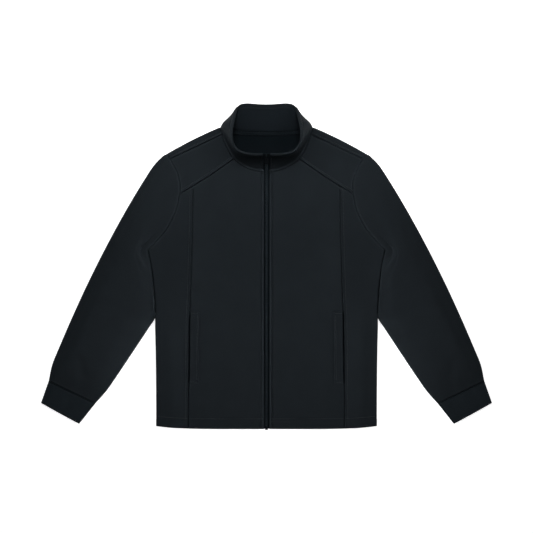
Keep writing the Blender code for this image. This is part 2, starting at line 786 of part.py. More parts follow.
def sleeve_ring(v):
    """A closed ring round the sleeve: over the top from its outer edge, and back underneath."""
    dense = sleeve_section(v)
    reach = dense_reach(dense)
    width = reach[-1]
    last = len(ARM_STATIONS) - 1
    _, inner_roll = sleeve_height(v, 0.5, width / 2, width / 2, width)
    square = (1.0, 1.0)
    if v > 0:
        ends = (dense[1] - dense[0], dense[-1] - dense[-2])
        square = (squareness(v, ends[0], 0), squareness(v, ends[1], 1))
    first_in, last_in = FOLD / square[0], inner_roll / square[1]
    scale = (width - first_in - last_in) / (ARM_END - 2 * FOLD)
    over, under = [], []
    for k, station in enumerate(ARM_STATIONS):
        if v == 0:
            distance = station
        elif k < 3:
            distance = ROLL[k] / square[0]
        elif k > last - 3:
            distance = width - ROLL[last - k] / FOLD * last_in
        else:
            distance = first_in + (station - FOLD) * scale
        distance = min(max(distance, 0.0), width)
        i = max(n for n in range(len(reach) - 1) if reach[n] <= distance)
        point = dense[i].lerp(dense[i + 1], (distance - reach[i]) / (reach[i + 1] - reach[i]))
        from_outer, from_inner = distance * square[0], (width - distance) * square[1]
        radius = FOLD if distance < width / 2 else inner_roll
        top, _ = sleeve_height(v, distance / width, from_outer, from_inner, width)
        round_edge = rolled(min(from_outer, from_inner), radius)
        near_arm = smoothstep(v, 0.0, 0.14)
        arm_high, arm_low = front_height(*arm_points[k]), back_height(*arm_points[k])
        if k == last - 1:
            arm_high = (front_height(*arm_points[last - 2]) + FOLD) / 2
            arm_low = 2 * FOLD - arm_high
        high = mix(arm_high, top - radius + round_edge, near_arm)
        low = mix(arm_low, radius - round_edge, near_arm)
        over.append(spatial(point, high))
        under.append(spatial(point, low))
    return over + under[-2:0:-1]


sleeve_net = sleeve_plan()


def sleeve_rings():
    rings = [sleeve_ring(v) for v in SLEEVE_RINGS]
    around = len(rings[0])
    for k in range(around):
        ease = FOLD_EASE * (1 - smoothstep(min(k, around - k), 2, 4))
        ease += UNDERARM_GAP * (1 - smoothstep(abs(k - around // 2), 3, 6))
        rings[0][k] = towards(rings[0][k], rings[1][k], ease)
    return inset(rings, first=True, last=True)


def make_sleeve(side_name, side, finish):
    rings = sleeve_rings()
    cloth_panel(f"sleeve_{side_name}", rings, side, finish, closed=True)


def cuff_rings():
    """The cuff: a tapered band from the sleeve's last ring to its own folded end."""
    start = sleeve_ring(1.0)
    width = (CUFF_INNER - CUFF_OUTER).length
    rings = []
    rows = 3
    for j in range(rows + 1):
        s = j / rows
        a, b = CUFF_OUTER.lerp(CUFF_END_OUTER, s), CUFF_INNER.lerp(CUFF_END_INNER, s)
        ring = []
        for p in start:
            share = (p.xy - CUFF_OUTER).dot(CUFF_INNER - CUFF_OUTER) / width**2
            height = FOLD + (p.z - FOLD) * mix(1.0, CUFF_FLAT / FOLD, s)
            height -= (FOLD - CUFF_FLAT) * s
            ring.append(spatial(a.lerp(b, share), max(0.0, height)))
        rings.append(ring)
    return inset(rings, first=True)


def make_cuff(side_name, side, finish):
    rings = cuff_rings()
    cloth_panel(f"cuff_{side_name}", rings, side, finish, CUFF_CLOTH, closed=True)


def collar_zip_half(share):
    """From the centre to the collar's front edge, at a share of the collar's height."""
    return mix(ZIP_HALF, COLLAR_ZIP_HALF, max(0.0, share))


def collar_ribs():
    """The collar's outer face: a line from the neck seam to the top edge at each point of the seam."""
    bases = [(s, on_front(p)) for s, p in zip(NECK_STATIONS, neck_points)]
    for s, p in zip(BACK_STATIONS[1:], back_neck_points[1:]):
        bases.append((NECK_END + s, on_back(p)))
    total = NECK_END + neck_back.length
    shoulder = (SHOULDER_TIP - NECK_POINT).normalized()
    fold_out = Vector((-shoulder.y, shoulder.x, 0.0))
    ribs = []
    for s, base in bases:
        x, h, z, bulge = read(COLLAR, s * COLLAR[-1][0] / total)
        top = Vector((x, h, z))
        turned = math.pi / 2 * min(1.0, max(-1.0, (NECK_END - s) / FOLD))
        panel_out = Vector((0.0, 0.0, math.sin(turned))) + fold_out * math.cos(turned)
        ribs.append((base, top, bulge, panel_out))
    rows = [[], []]
    for j in range(1, COLLAR_ROWS + 1):
        rows.append([])
    for k, (base, top, bulge, panel_out) in enumerate(ribs):
        before, after = ribs[max(k - 1, 0)][0], ribs[min(k + 1, len(ribs) - 1)][0]
        seam = after - before
        outward = seam.cross(top - base).normalized()
        inwards = panel_out.cross(seam).normalized()
        past_fold = k - (len(NECK_STATIONS) - 1)
        at_fold = {-1: 0.3, 0: 0.7, 1: 1.0, 2: 1.0, 3: 0.15}.get(past_fold, 0.0)
        rows[0].append(base + inwards * (SEAM_GAP / 2 + NECK_POINT_EASE * at_fold))
        foot = base + inwards * COLLAR_FOOT
        rows[1].append(foot)
        for j in range(1, COLLAR_ROWS + 1):
            t = j / COLLAR_ROWS
            rows[j + 1].append(foot.lerp(top, t) + outward * bulge * math.sin(math.pi * t))
    for j, row in enumerate(rows):
        row[0].x = collar_zip_half((j - 1) / COLLAR_ROWS)
        row[-1].x = 0.0
    return rows


def make_collar(finish):
    mesh = cloth_mesh("collar", collar_ribs())
    piece = new_object("collar", mesh, finish)
    mirrored(piece)
    thicken(piece, COLLAR_CLOTH)


def make_neck_tape(finish):
    """The tape that covers the back neck seam inside, on the back's inner face."""
    count = 6
    rows = []
    for j in range(3):
        row = []
        for k in range(count + 1):
            x = TAPE_REACH * k / count
            p = neck_back.at(neck_back.along(Vector((x, NECK_BACK[-1][1]))))
            h = p.y - 0.6 - TAPE_WIDE * j / 2
            row.append(Vector((x, h, CLOTH + SEAM_GAP + 1.0)))
        rows.append(row)
    piece = new_object("neck_tape", cloth_mesh("neck_tape", rows[::-1]), finish)
    mirrored(piece)
    thicken(piece, 1.0)


def collar_front():
    """The zip's straight run up the collar: its foot, its direction and its outward normal."""
    foot = on_front(neck_points[0])
    _, h, z, _ = read(COLLAR, 0.0)
    run = Vector((0.0, h - foot.y, z - foot.z))
    up = run.normalized()
    return Vector((0.0, foot.y, foot.z)), run.length, up, Vector((0.0, -up.z, up.y))


def zip_rows():
    """One zip tape with the coil's ridge along its inner edge, from the hem up the collar.

    Below the collar it lies under the front, and takes its heights from the front's own points.
    """
    foot, run, up, out = collar_front()
    front, _ = front_rows()
    under = CLOTH + SEAM_GAP
    rows = []
    for j, row in enumerate(front[:-1]):
        start, end = row[0], row[1]
        h = start.y + (4.6 if j == 0 else 0.0)
        edge = start.lerp(end, (HALF_TAPE - ZIP_HALF) / (end.x - start.x)).z
        levels = (
            (0.2, start.z - 0.5),
            (2.8, start.z - 0.5),
            (3.6, start.z - under),
            (ZIP_HALF - SEAM_GAP, start.z - under),
            (HALF_TAPE, edge - under),
        )
        rows.append([Vector((x, h, z)) for x, z in levels])
    bulge = read(COLLAR, 0.0)[3]
    h = foot.y - 11.0
    share = (h - front[-2][0].y) / (front[-1][0].y - front[-2][0].y)
    z = mix(front[-2][0].z, front[-1][0].z, share)
    narrow = ((0.2, 0.5), (2.8, 0.5), (3.6, under), (4.4, under), (5.2, under))
    rows.append([Vector((x, h, z - depth)) for x, depth in narrow])
    path = [(Vector((0.0, foot.y - 5.0, foot.z)), Vector((0.0, 0.0, 1.0)), 0.0)]
    path.append((Vector(foot), Vector((0.0, out.y / 2, (1 + out.z) / 2)).normalized(), 0.0))
    for j in range(1, COLLAR_ROWS + 1):
        t = j / COLLAR_ROWS
        path.append((foot + up * run * t + out * bulge * math.sin(math.pi * t), out, t))
    for middle, normal, share in path:
        flat = COLLAR_CLOTH / 2
        edge = collar_zip_half(share) - 2 * SEAM_GAP
        columns = ((0.2, 0.5), (2.8, 0.5), (3.6, flat), (mix(3.6, edge, 0.5), flat), (edge, flat))
        rows.append([middle + Vector((x, 0, 0)) - normal * depth for x, depth in columns])
    return rows


def make_zip_tape(side_name, side, finish):
    cloth_panel(f"zip_tape_{side_name}", zip_rows(), side, finish, thickness=1.0)


def placed(piece, where, up, out):
    """Stands a piece on the zip's run up the collar: its own Y up the zip, its Z outwards."""
    turn = Matrix((Vector((1, 0, 0)), up, out)).transposed()
    piece.matrix_world = Matrix.Translation((where - Vector((0, MIDDLE, 0))) * MM) @ turn.to_4x4()


def mesh_of(piece):
    """A curve's evaluated shape as a mesh object, with its caps welded."""
    evaluated = piece.evaluated_get(bpy.context.evaluated_depsgraph_get())
    mesh = bpy.data.meshes.new_from_object(evaluated)
    shape = bmesh.new()
    shape.from_mesh(mesh)
    bmesh.ops.remove_doubles(shape, verts=shape.verts, dist=1e-6)
    bmesh.ops.recalc_face_normals(shape, faces=shape.faces)
    shape.to_mesh(mesh)
    shape.free()
    made = bpy.data.objects.new(piece.name + "_mesh", mesh)
    made.matrix_world = piece.matrix_world
    bpy.data.objects.remove(piece)
    return made


def flat_outline(name, outlines, thickness):
    """A plate from closed outlines, in millimetres; a second outline is a hole."""
    curve = bpy.data.curves.new(name, "CURVE")
    curve.dimensions = "2D"
    curve.fill_mode = "BOTH"
    curve.extrude = thickness / 2 * MM
    for outline in outlines:
        spline = curve.splines.new("POLY")
        spline.points.add(len(outline) - 1)
        for point, (x, y) in zip(spline.points, outline):
            point.co = (x * MM, y * MM, 0.0, 1.0)
        spline.use_cyclic_u = True
    return bpy.data.objects.new(name, curve)


def round_box(width, low, high, radius, steps=4):
    """A rectangle's outline with round corners, from y low to y high."""
    half = width / 2 - radius
    corners = (
        (half, high - radius, 0.0),
        (-half, high - radius, 90.0),
        (-half, low + radius, 180.0),
        (half, low + radius, 270.0),
    )
    outline = []
    for x, y, start in corners:
        for k in range(steps + 1):
            angle = math.radians(start + 90.0 * k / steps)
            outline.append((x + radius * math.cos(angle), y + radius * math.sin(angle)))
    return outline


def make_slider(finish):
    """The slider's top plate with the bridge that carries the pull, as one casting."""
    foot, run, up, out = collar_front()
    half = SLIDER_LONG / 2
    outline = [
        (-SLIDER_WIDE / 2, half - 2.0),
        (-SLIDER_WIDE / 2, half - 4.5),
        (-SLIDER_WIDE / 2 + 1.4, -half + 1.0),
        (-SLIDER_WIDE / 2 + 2.4, -half),
        (SLIDER_WIDE / 2 - 2.4, -half),
        (SLIDER_WIDE / 2 - 1.4, -half + 1.0),
        (SLIDER_WIDE / 2, half - 4.5),
        (SLIDER_WIDE / 2, half - 2.0),
        (SLIDER_WIDE / 2 - 2.2, half),
        (1.4, half - 1.2),
        (-1.4, half - 1.2),
        (-SLIDER_WIDE / 2 + 2.2, half),
    ]
    plate_curve = flat_outline("slider_plate", [outline], SLIDER_THICK)
    jacket.objects.link(plate_curve)
    plate = mesh_of(plate_curve)
    arch = bpy.data.curves.new("slider_bridge", "CURVE")
    arch.dimensions = "3D"
    arch.bevel_depth = BRIDGE_WIRE * MM
    arch.bevel_resolution = 2
    arch.use_fill_caps = True
    spline = arch.splines.new("POLY")
    steps = 10
    spline.points.add(steps)
    for k, point in enumerate(spline.points):
        angle = math.pi * k / steps
        y = -BRIDGE_LONG / 2 * math.cos(angle)
        z = (BRIDGE_HIGH - BRIDGE_WIRE) * math.sin(angle) ** 0.6
        point.co = (0.0, y * MM, z * MM, 1.0)
    bridge_curve = bpy.data.objects.new("slider_bridge", arch)
    jacket.objects.link(bridge_curve)
    bridge = mesh_of(bridge_curve)
    helpers.objects.link(bridge)
    bridge.hide_render = True
    bridge.display_type = "WIRE"
    plate.name = "zip_slider"
    plate.data.materials.clear()
    plate.data.materials.append(piece_material("zip_slider", finish))
    jacket.objects.link(plate)
    join = plate.modifiers.new("bridge", "BOOLEAN")
    join.operation = "UNION"
    join.object = bridge
    where = slider_middle() + out * (SLIDER_THICK / 2)
    placed(plate, where, up, out)
    placed(bridge, where, up, out)


def slider_middle():
    """On the zip's ridge, with a running gap, under the slider's middle."""
    foot, run, up, out = collar_front()
    bulge = read(COLLAR, 0.0)[3]
    t = (run - SLIDER_FROM_TOP) / run
    return foot + up * run * t + out * (bulge * math.sin(math.pi * t) - 0.5 + SEAM_GAP + 0.5)


def make_pull(finish):
    """The pull tab: a plate with an eye that the bridge passes through, hung by its top bar."""
    foot, run, up, out = collar_front()
    bar = 2 * PULL_WIRE
    outline = round_box(PULL_WIDE, bar / 2 - PULL_LONG, bar / 2, 1.6)
    wider = PULL_TIP_WIDE / PULL_WIDE
    outline = [(x * (wider if y < -PULL_LONG / 2 else 1.0), y) for x, y in outline]
    eye = round_box(PULL_EYE_WIDE, -bar / 2 - PULL_EYE_LONG, -bar / 2, 0.8, steps=2)
    curve = flat_outline("zip_pull_outline", [outline, eye], bar)
    jacket.objects.link(curve)
    pull = mesh_of(curve)
    pull.name = "zip_pull"
    pull.data.materials.clear()
    pull.data.materials.append(piece_material("zip_pull", finish))
    jacket.objects.link(pull)
    placed(pull, pull_axis(), up, out)


def pull_axis():
    foot, run, up, out = collar_front()
    return slider_middle() + out * (SLIDER_THICK + PULL_WIRE + 0.45) - up * 0.6


def make_zip_box(finish):
    """The zip's box and pin at the hem."""
    top = front_height(ZIP_HALF, 4.0) - 0.2
    bpy.ops.mesh.primitive_cube_add(size=1.0)
    box = bpy.context.object
    box.name = "zip_box"
    jacket.objects.link(box)
    for other in list(box.users_collection):
        if other is not jacket:
            other.objects.unlink(box)
    size = Vector((7.0, 6.6, 3.4)) * MM
    box.data.transform(Matrix.Diagonal(size.to_4d()))
    box.location = Vector((0.0, 6.6 / 2 - ZIP_TAIL - MIDDLE, top - 3.4 / 2)) * MM
    bevel = box.modifiers.new("rounded", "BEVEL")
    bevel.width = 0.7 * MM
    bevel.segments = 2
    box.data.materials.append(piece_material("zip_box", finish))


for old in list(bpy.data.objects):
    bpy.data.objects.remove(old)
jacket = bpy.data.collections.new("track_jacket")
helpers = bpy.data.collections.new("helpers")
bpy.context.scene.collection.children.link(jacket)
bpy.context.scene.collection.children.link(helpers)

make_back("double_knit")
make_collar("double_knit")
make_neck_tape("woven_tape")
for side_name, side in (("left", 1), ("right", -1)):
    make_yoke(side_name, side, "double_knit")
    make_front(side_name, side, "double_knit")
    make_side(side_name, side, "double_knit")
    make_sleeve(side_name, side, "double_knit")
    make_cuff(side_name, side, "double_knit")
    make_zip_tape(side_name, side, "woven_tape")
make_zip_box("black_casting")
make_slider("black_casting")
make_pull("black_casting")
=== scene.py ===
"""Looks of a zip-up track jacket in dark double knit, laid flat on its back with the collar standing.

Lengths are in millimetres: x across from the centre front towards the wearer's left, h up from the
hem, z above the surface that the jacket lies on. The tables give the half where x > 0.
"""

import math

import bpy
import numpy as np
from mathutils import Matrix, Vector


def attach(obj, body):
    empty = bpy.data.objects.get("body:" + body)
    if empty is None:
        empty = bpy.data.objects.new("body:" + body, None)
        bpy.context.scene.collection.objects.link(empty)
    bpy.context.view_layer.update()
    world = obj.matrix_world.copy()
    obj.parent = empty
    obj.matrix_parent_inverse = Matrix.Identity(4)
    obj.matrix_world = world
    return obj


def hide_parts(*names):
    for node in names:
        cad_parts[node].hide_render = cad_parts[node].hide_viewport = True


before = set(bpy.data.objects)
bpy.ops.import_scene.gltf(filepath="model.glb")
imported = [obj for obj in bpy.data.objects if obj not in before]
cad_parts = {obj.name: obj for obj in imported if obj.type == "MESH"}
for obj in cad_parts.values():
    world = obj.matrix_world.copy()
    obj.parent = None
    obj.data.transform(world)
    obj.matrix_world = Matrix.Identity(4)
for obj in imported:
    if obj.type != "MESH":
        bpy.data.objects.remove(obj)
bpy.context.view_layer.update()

MM = 0.001
BODY_TOP, ZIP_TAIL = 759.8, 2.6
MIDDLE = (BODY_TOP - ZIP_TAIL) / 2  # this height above the hem is the frame's y = 0

# Cloth, in the sizes that the solids have
CLOTH, COLLAR_CLOTH = 2.2, 4.0
# how thick each cloth is modelled, under its outer face
SHELL, CUFF_SHELL, COLLAR_SHELL, WELT_SHELL, TAPE_SHELL, BACK_SHELL = 0.8, 0.6, 0.5, 1.0, 0.7, 1.6
SEAM_GAP = 0.04
FOLD, FOLD_SPREAD = 4.2, 34.0  # a folded edge's radius, and how far in the cloth settles
AIR = 2.4  # between the layers
NECK_LIFT, NECK_SPREAD, SHOULDER_FULL = 2.4, 75.0, 3.4
ZIP_NECK = 601.0  # where the zip meets the neck seam
COLLAR_FOOT, COLLAR_FOOT_BACK = 5.0, 2.2
COLLAR_FULL, COLLAR_FULL_AT, COLLAR_FULL_WIDE = 6.0, 168.0, 17.0  # it stands fullest behind the shoulder
COLLAR_FULL_TO = (0.75, 0.66, 0.0)  # and leans out this way there
HEM_RISE = 7.2
ZIP_HALF, COLLAR_ZIP_HALF, HALF_TAPE = 6.0, 8.0, 14.0
ZIP_EDGE = {1: 7.3, -1: 5.8}  # the folded edges beside the zip; the wearer's left lies looser
WELT_WIDE, WELT_LOW, WELT_HIGH, POCKET_SLIT = 20.5, 106.0, 274.0, 2.8
TAPE_WIDE, TAPE_REACH = 9.4, 92.0
CUFF_FLAT, CUFF_ROUND = 3.8, 1.4  # half the cuff's height at its end, and its fold's radius
CUFF_WIDE = 220.0  # its cut, across the grain's lines
HEM_DEEP, HEM_UPPER = 17.3, 23.6  # the hem's two rows of stitches
HEM_TURNED, HEM_ROUND = 16.0, 1.3  # how far the modelled hem runs up inside, and its fold's radius
UNDERARM_TURN, UNDERARM_EASE, SIDE_CLEAR, TUCKED_FOLD = 2.4, 0.1, -0.4, 2.7
# how far the cloth lies outside the drawn edges
SIDE_EASE, OUTER_EASE, LOWER_EASE, HEM_EASE, SHOULDER_EASE = 0.9, 1.0, 2.0, 0.7, 2.4

NECK_POINT, SHOULDER_TIP = np.array((110.0, 705.5)), np.array((231.0, 645.0))
UNDERARM = np.array((279.0, 418.0))
YOKE_NECK, YOKE_ARM, YOKE_SAG = np.array((77.0, 631.5)), np.array((202.6, 550.0)), 2.6
STRIP_NECK, STRIP_ARM = np.array((104.6, 688.5)), np.array((225.6, 631.5))
CUFF_OUTER, CUFF_INNER = np.array((510.0, 112.0)), np.array((400.5, 59.5))
CUFF_END_OUTER, CUFF_END_INNER = np.array((528.2, 60.6)), np.array((438.6, 11.4))

# x, h
ARMHOLE = (
    (231.0, 645.0), (225.6, 631.5), (209.0, 601.0), (202.0, 573.0), (202.6, 550.0), (211.0, 512.0),
    (221.0, 489.5), (235.0, 465.0), (255.5, 441.0), (279.0, 418.0),
)
# h, x
SIDE = (
    (0.0, 258.0), (101.0, 258.3), (172.0, 259.0), (255.0, 261.0), (312.0, 263.5), (351.0, 267.0),
    (381.0, 270.6), (418.0, 278.0),
)
# h, x
PRINCESS = (
    (0.0, 183.0), (103.0, 182.5), (260.0, 180.9), (302.0, 178.3), (418.0, 174.6), (566.0, 171.3),
)
# x, h
NECK_FRONT = (
    (6.0, 601.0), (26.0, 604.0), (44.5, 610.0), (62.7, 620.5), (77.0, 631.5), (90.0, 653.0),
    (101.0, 677.0), (104.6, 688.5), (110.0, 705.5),
)
NECK_BACK = (
    (110.0, 705.5), (92.0, 702.0), (56.0, 698.0), (0.0, 696.0),
)
# x, h: from the shoulder tip to the cuff, and from the fork with the body's side to the cuff
SLEEVE_OUTER = (
    (231.0, 645.0), (243.5, 638.0), (257.5, 624.0), (271.5, 603.5), (293.5, 569.5), (321.5, 522.5),
    (360.5, 452.5), (408.5, 359.0), (452.0, 265.5), (492.5, 171.5), (501.5, 148.5), (508.5, 125.0),
    (510.0, 112.0),
)
SLEEVE_LOWER = (
    (262.6, 259.5), (275.0, 240.5), (335.5, 149.0), (384.5, 78.0), (400.5, 59.5),
)
SLEEVE_FORK = np.array(SLEEVE_LOWER[0])
SLEEVE_FORK_OUTER = 363.0  # along the outer edge, level with the fork
FORK_SHARE = 0.5
BESIDE_BODY = UNDERARM[1] - SLEEVE_FORK[1]  # the sleeve's inner edge, as far as it lies along the body
LOWER_OUT = np.array((0.833, 0.553))  # from the sleeve's lower edge into the sleeve

# along the neck seam from the zip; the collar's top edge x, h, z; bulge outwards half-way up
COLLAR = (
    (0.0, 6.0, 638.3, 52.0, -3.0), (20.0, 21.6, 636.8, 53.0, -4.0), (40.0, 39.6, 637.0, 56.0, -5.0),
    (61.0, 55.8, 639.4, 60.5, -5.0), (81.0, 69.2, 646.6, 64.0, -3.5), (105.0, 79.0, 660.6, 65.5, -0.5),
    (130.0, 81.9, 677.3, 63.5, 1.5), (150.0, 80.6, 694.7, 58.0, 3.0), (159.0, 77.3, 711.4, 49.0, 4.0),
    (167.0, 74.3, 729.8, 35.5, 4.0), (179.0, 70.8, 748.0, 20.5, 2.0), (195.0, 62.6, 757.2, 9.5, 0.5),
    (214.0, 48.5, 759.9, 4.5, 0.0), (234.0, 32.0, 759.4, 2.6, 0.0), (252.0, 16.0, 758.2, 1.6, 0.0),
    (270.0, 0.0, 757.7, 1.2, 0.0),
)

# Soft folds of the front layer: from x, h, to x, h, half width on the left and on the right of
# that run, height
BODY_FOLDS = (
    (172.0, 590.0, 184.0, 250.0, 60.0, 44.0, 3.6), (224.0, 350.0, 222.0, -130.0, 30.0, 32.0, 4.2),
    (172.0, 372.0, 84.0, 450.0, 20.0, 26.0, -1.3), (150.0, 318.0, 60.0, 372.0, 30.0, 34.0, 1.0),
    (120.0, 210.0, 70.0, 60.0, 38.0, 38.0, -0.9), (96.0, 560.0, 110.0, 430.0, 40.0, 48.0, 1.0),
    (154.0, 318.0, 141.0, 296.0, 5.0, 8.0, 0.8), (163.0, 326.0, 146.0, 306.0, 4.0, 7.0, -0.7),
    (168.0, 96.0, 96.0, 60.0, 22.0, 30.0, 0.9), (40.0, 470.0, 46.0, 250.0, 24.0, 30.0, 0.5),
)
# The same for a sleeve, by the share of its length and the share of its width:
# from length, width, to length, width, half width, height
SLEEVE_FOLDS = (
    (0.16, 0.10, 1.10, 0.12, 11.0, -1.3), (0.60, 0.66, 0.97, 0.62, 26.0, 0.9),
    (0.80, 0.30, 0.93, 0.60, 13.0, -1.0), (0.02, 0.62, 0.40, 0.90, 16.0, 1.0),
    (0.08, 0.42, 0.36, 0.70, 15.0, -0.9), (0.52, 0.80, 0.74, 0.97, 9.0, -0.8),
    (0.90, 0.45, 1.04, 0.52, 10.0, 0.8),
)
# How full a sleeve is over its fold's height: share of the width, share of the fullness
SLEEVE_CROWN = (
    (0.0, 0.0), (0.03, 0.07), (0.06, 0.23), (0.10, 0.44), (0.16, 0.69), (0.22, 0.86), (0.31, 0.97),
    (0.44, 1.0), (0.64, 0.99), (0.76, 0.90), (0.84, 0.72), (0.91, 0.46), (0.96, 0.20), (1.0, 0.0),
)
# share of the length, fullness
SLEEVE_FULL = (
    (0.0, 0.0), (0.05, 4.8), (0.14, 9.0), (0.30, 10.5), (0.70, 10.0), (0.92, 7.2), (1.0, 4.0),
)


# ---------------------------------------------------------------- lines and heights


def smooth(value, low, high):
    t = np.clip((value - low) / (high - low), 0.0, 1.0)
    return t * t * (3 - 2 * t)


def mix(a, b, t):
    return a + (b - a) * t


def read(table, at):
    """The table's other columns at values of its first, on a smooth line through its rows."""
    table = np.asarray(table, float)
    keys = table[:, 0]
    at = np.clip(np.atleast_1d(at), keys[0], keys[-1])
    row = np.clip(np.searchsorted(keys, at, side="right") - 1, 0, len(keys) - 2)
    places = np.arange(len(keys))
    before, after = np.maximum(places - 1, 0), np.minimum(places + 1, len(keys) - 1)
    slopes = (table[after, 1:] - table[before, 1:]) / (keys[after] - keys[before])[:, None]
    span = (keys[row + 1] - keys[row])[..., None]
    t = (at - keys[row])[..., None] / span
    return (
        (2 * t**3 - 3 * t**2 + 1) * table[row, 1:]
        + (t**3 - 2 * t**2 + t) * slopes[row] * span
        + (3 * t**2 - 2 * t**3) * table[row + 1, 1:]
        + (t**3 - t**2) * slopes[row + 1] * span
    )


def bell(value, middle, wide):
    """1 at the middle, and less on both sides of it."""
    return np.exp(-(((value - middle) / wide) ** 2))


def unit(vectors):
    return vectors / np.linalg.norm(vectors, axis=-1, keepdims=True)


def reach_of(points):
    """The length along a line of points, at each of them."""
    steps = np.linalg.norm(np.diff(points, axis=0), axis=1)
    return np.concatenate(([0.0], np.cumsum(steps)))


def on_line(points, reach, at):
    """Places on a line of points, at lengths along it."""
    return np.stack([np.interp(at, reach, points[:, k]) for k in range(points.shape[1])], axis=-1)


class Line:
    """A smooth line through a short table of plan points, read by the length along it."""

    def __init__(self, table, steps=12):
        knots = np.array(table, float)
        along = reach_of(knots)
        rows = np.column_stack((along, knots))
        self.points = read(rows, np.linspace(0.0, along[-1], steps * (len(knots) - 1) + 1))
        self.reach = reach_of(self.points)
        self.length = self.reach[-1]

    def at(self, distance):
        return on_line(self.points, self.reach, distance)

    def length_to(self, point):
        """The length along the line at its own point nearest to a place."""
        return self.reach[np.abs(self.points - point).sum(1).argmin()]

    def normal(self, distance):
        """Sideways from the line, to the left of its run."""
        run = self.at(distance + 3.0) - self.at(distance - 3.0)
        return unit(np.stack((-run[..., 1], run[..., 0]), axis=-1))

    def part(self, start, end):
        """The line's points between two lengths."""
        inner = self.reach[(self.reach > start + 0.01) & (self.reach < end - 0.01)]
        return self.at(np.concatenate(([start], inner, [end])))


def beside(path, points):
    """Distance of plan points from a path, and the length along the path at its nearest place."""
    start, run = path[:-1], np.diff(path, axis=0)
    long = np.linalg.norm(run, axis=1)
    before = np.concatenate(([0.0], np.cumsum(long)[:-1]))
    flat = points.reshape(-1, 2)
    distance, along = np.empty(len(flat)), np.empty(len(flat))
    for first in range(0, len(flat), 20000):
        gap = flat[first : first + 20000, None] - start[None]
        share = np.clip((gap * run).sum(2) / long**2, 0.0, 1.0)
        away = np.linalg.norm(gap - share[..., None] * run, axis=2)
        nearest = away.argmin(1)
        rows = np.arange(len(nearest))
        distance[first : first + 20000] = away[rows, nearest]
        along[first : first + 20000] = before[nearest] + share[rows, nearest] * long[nearest]
    return distance.reshape(points.shape[:-1]), along.reshape(points.shape[:-1])


def gap_to(path, points):
    return beside(path, points)[0]


armhole, neck_front, neck_back = Line(ARMHOLE), Line(NECK_FRONT), Line(NECK_BACK)
sleeve_outer, sleeve_lower = Line(SLEEVE_OUTER), Line(SLEEVE_LOWER)
ARM_END = armhole.length


def side_x(h):
    return read(SIDE, h)[..., 0] + SIDE_EASE * (1 - smooth(h, 235.0, 262.0))


def princess_x(h):
    return read(PRINCESS, h)[..., 0]


def hem_h(x):
    return HEM_RISE * (np.abs(x) / SIDE[0][1]) ** 5


def yoke_line(start, end, count=24):
    share = np.linspace(start, end, count)
    points = YOKE_NECK + (YOKE_ARM - YOKE_NECK) * share[:, None]
    points[:, 1] -= 4 * YOKE_SAG * share * (1 - share)
    return points


PRINCESS_SHARE = (PRINCESS[-1][1] - YOKE_NECK[0]) / (YOKE_ARM[0] - YOKE_NECK[0])
princess_top = yoke_line(PRINCESS_SHARE, 1.0)[0]
princess_line = np.array([(princess_x(h)[0], h) for h in np.linspace(-20.0, 560.0, 40)])
yoke_seam, strip_line = yoke_line(0.0, 1.0), np.array((STRIP_NECK, STRIP_ARM))


def nearest_edge(points):
    """How far inside the body's rolled edge a plan point is: the side, or the shoulder."""
    x, h = points[..., 0], points[..., 1]
    side = np.where(h <= UNDERARM[1], side_x(h) - x, np.linalg.norm(points - UNDERARM, axis=-1))
    shoulder = gap_to(np.array((NECK_POINT, SHOULDER_TIP)), points)
    return np.maximum(0.0, np.minimum(side, shoulder))


def eased_shoulder(grid):
    """Moves the shoulder's fold out, most of all half-way along."""
    run = SHOULDER_TIP - NECK_POINT
    across, share = beside_run(NECK_POINT, SHOULDER_TIP, grid[..., :2])
    share = np.clip(share, 0.0, 1.0)
    ease = SHOULDER_EASE * np.sin(math.pi * share) ** 0.8 * (1 - smooth(np.abs(across), 0.0, 14.0))
    grid = grid.copy()
    grid[..., :2] += np.array((-run[1], run[0])) / np.linalg.norm(run) * ease[..., None]
    return grid


def rolled(distance, radius):
    return np.sqrt(np.maximum(0.0, radius**2 - (radius - np.minimum(distance, radius)) ** 2))


def soft_fold(distance, share, half_width, height):
    """A ridge's height beside its line, running out at both ends."""
    ends = smooth(share, 0.0, 0.35) * smooth(1 - share, 0.0, 0.35)
    return height * ends * bell(distance, 0.0, half_width)


def beside_run(start, end, points):
    """Signed distance of plan points from a straight run, positive on its left, and the share along."""
    run = np.subtract(end, start)
    gap = points - start
    long = np.linalg.norm(run)
    return (run[0] * gap[..., 1] - run[1] * gap[..., 0]) / long, gap @ run / long**2


def side_slack(points):
    """Below the armhole the side front falls away from the princess seam, and the front is level."""
    x, h = points[..., 0], points[..., 1]
    out = x - read(PRINCESS, np.clip(h, 0.0, 566.0))[..., 0].reshape(x.shape)
    fall = np.where(out > 0, np.exp(-np.abs(out) / 46.0), bell(out, 0.0, 40.0))
    return 3.4 * fall * smooth(h, 240.0, 330.0) * (1 - smooth(h, 430.0, 520.0))


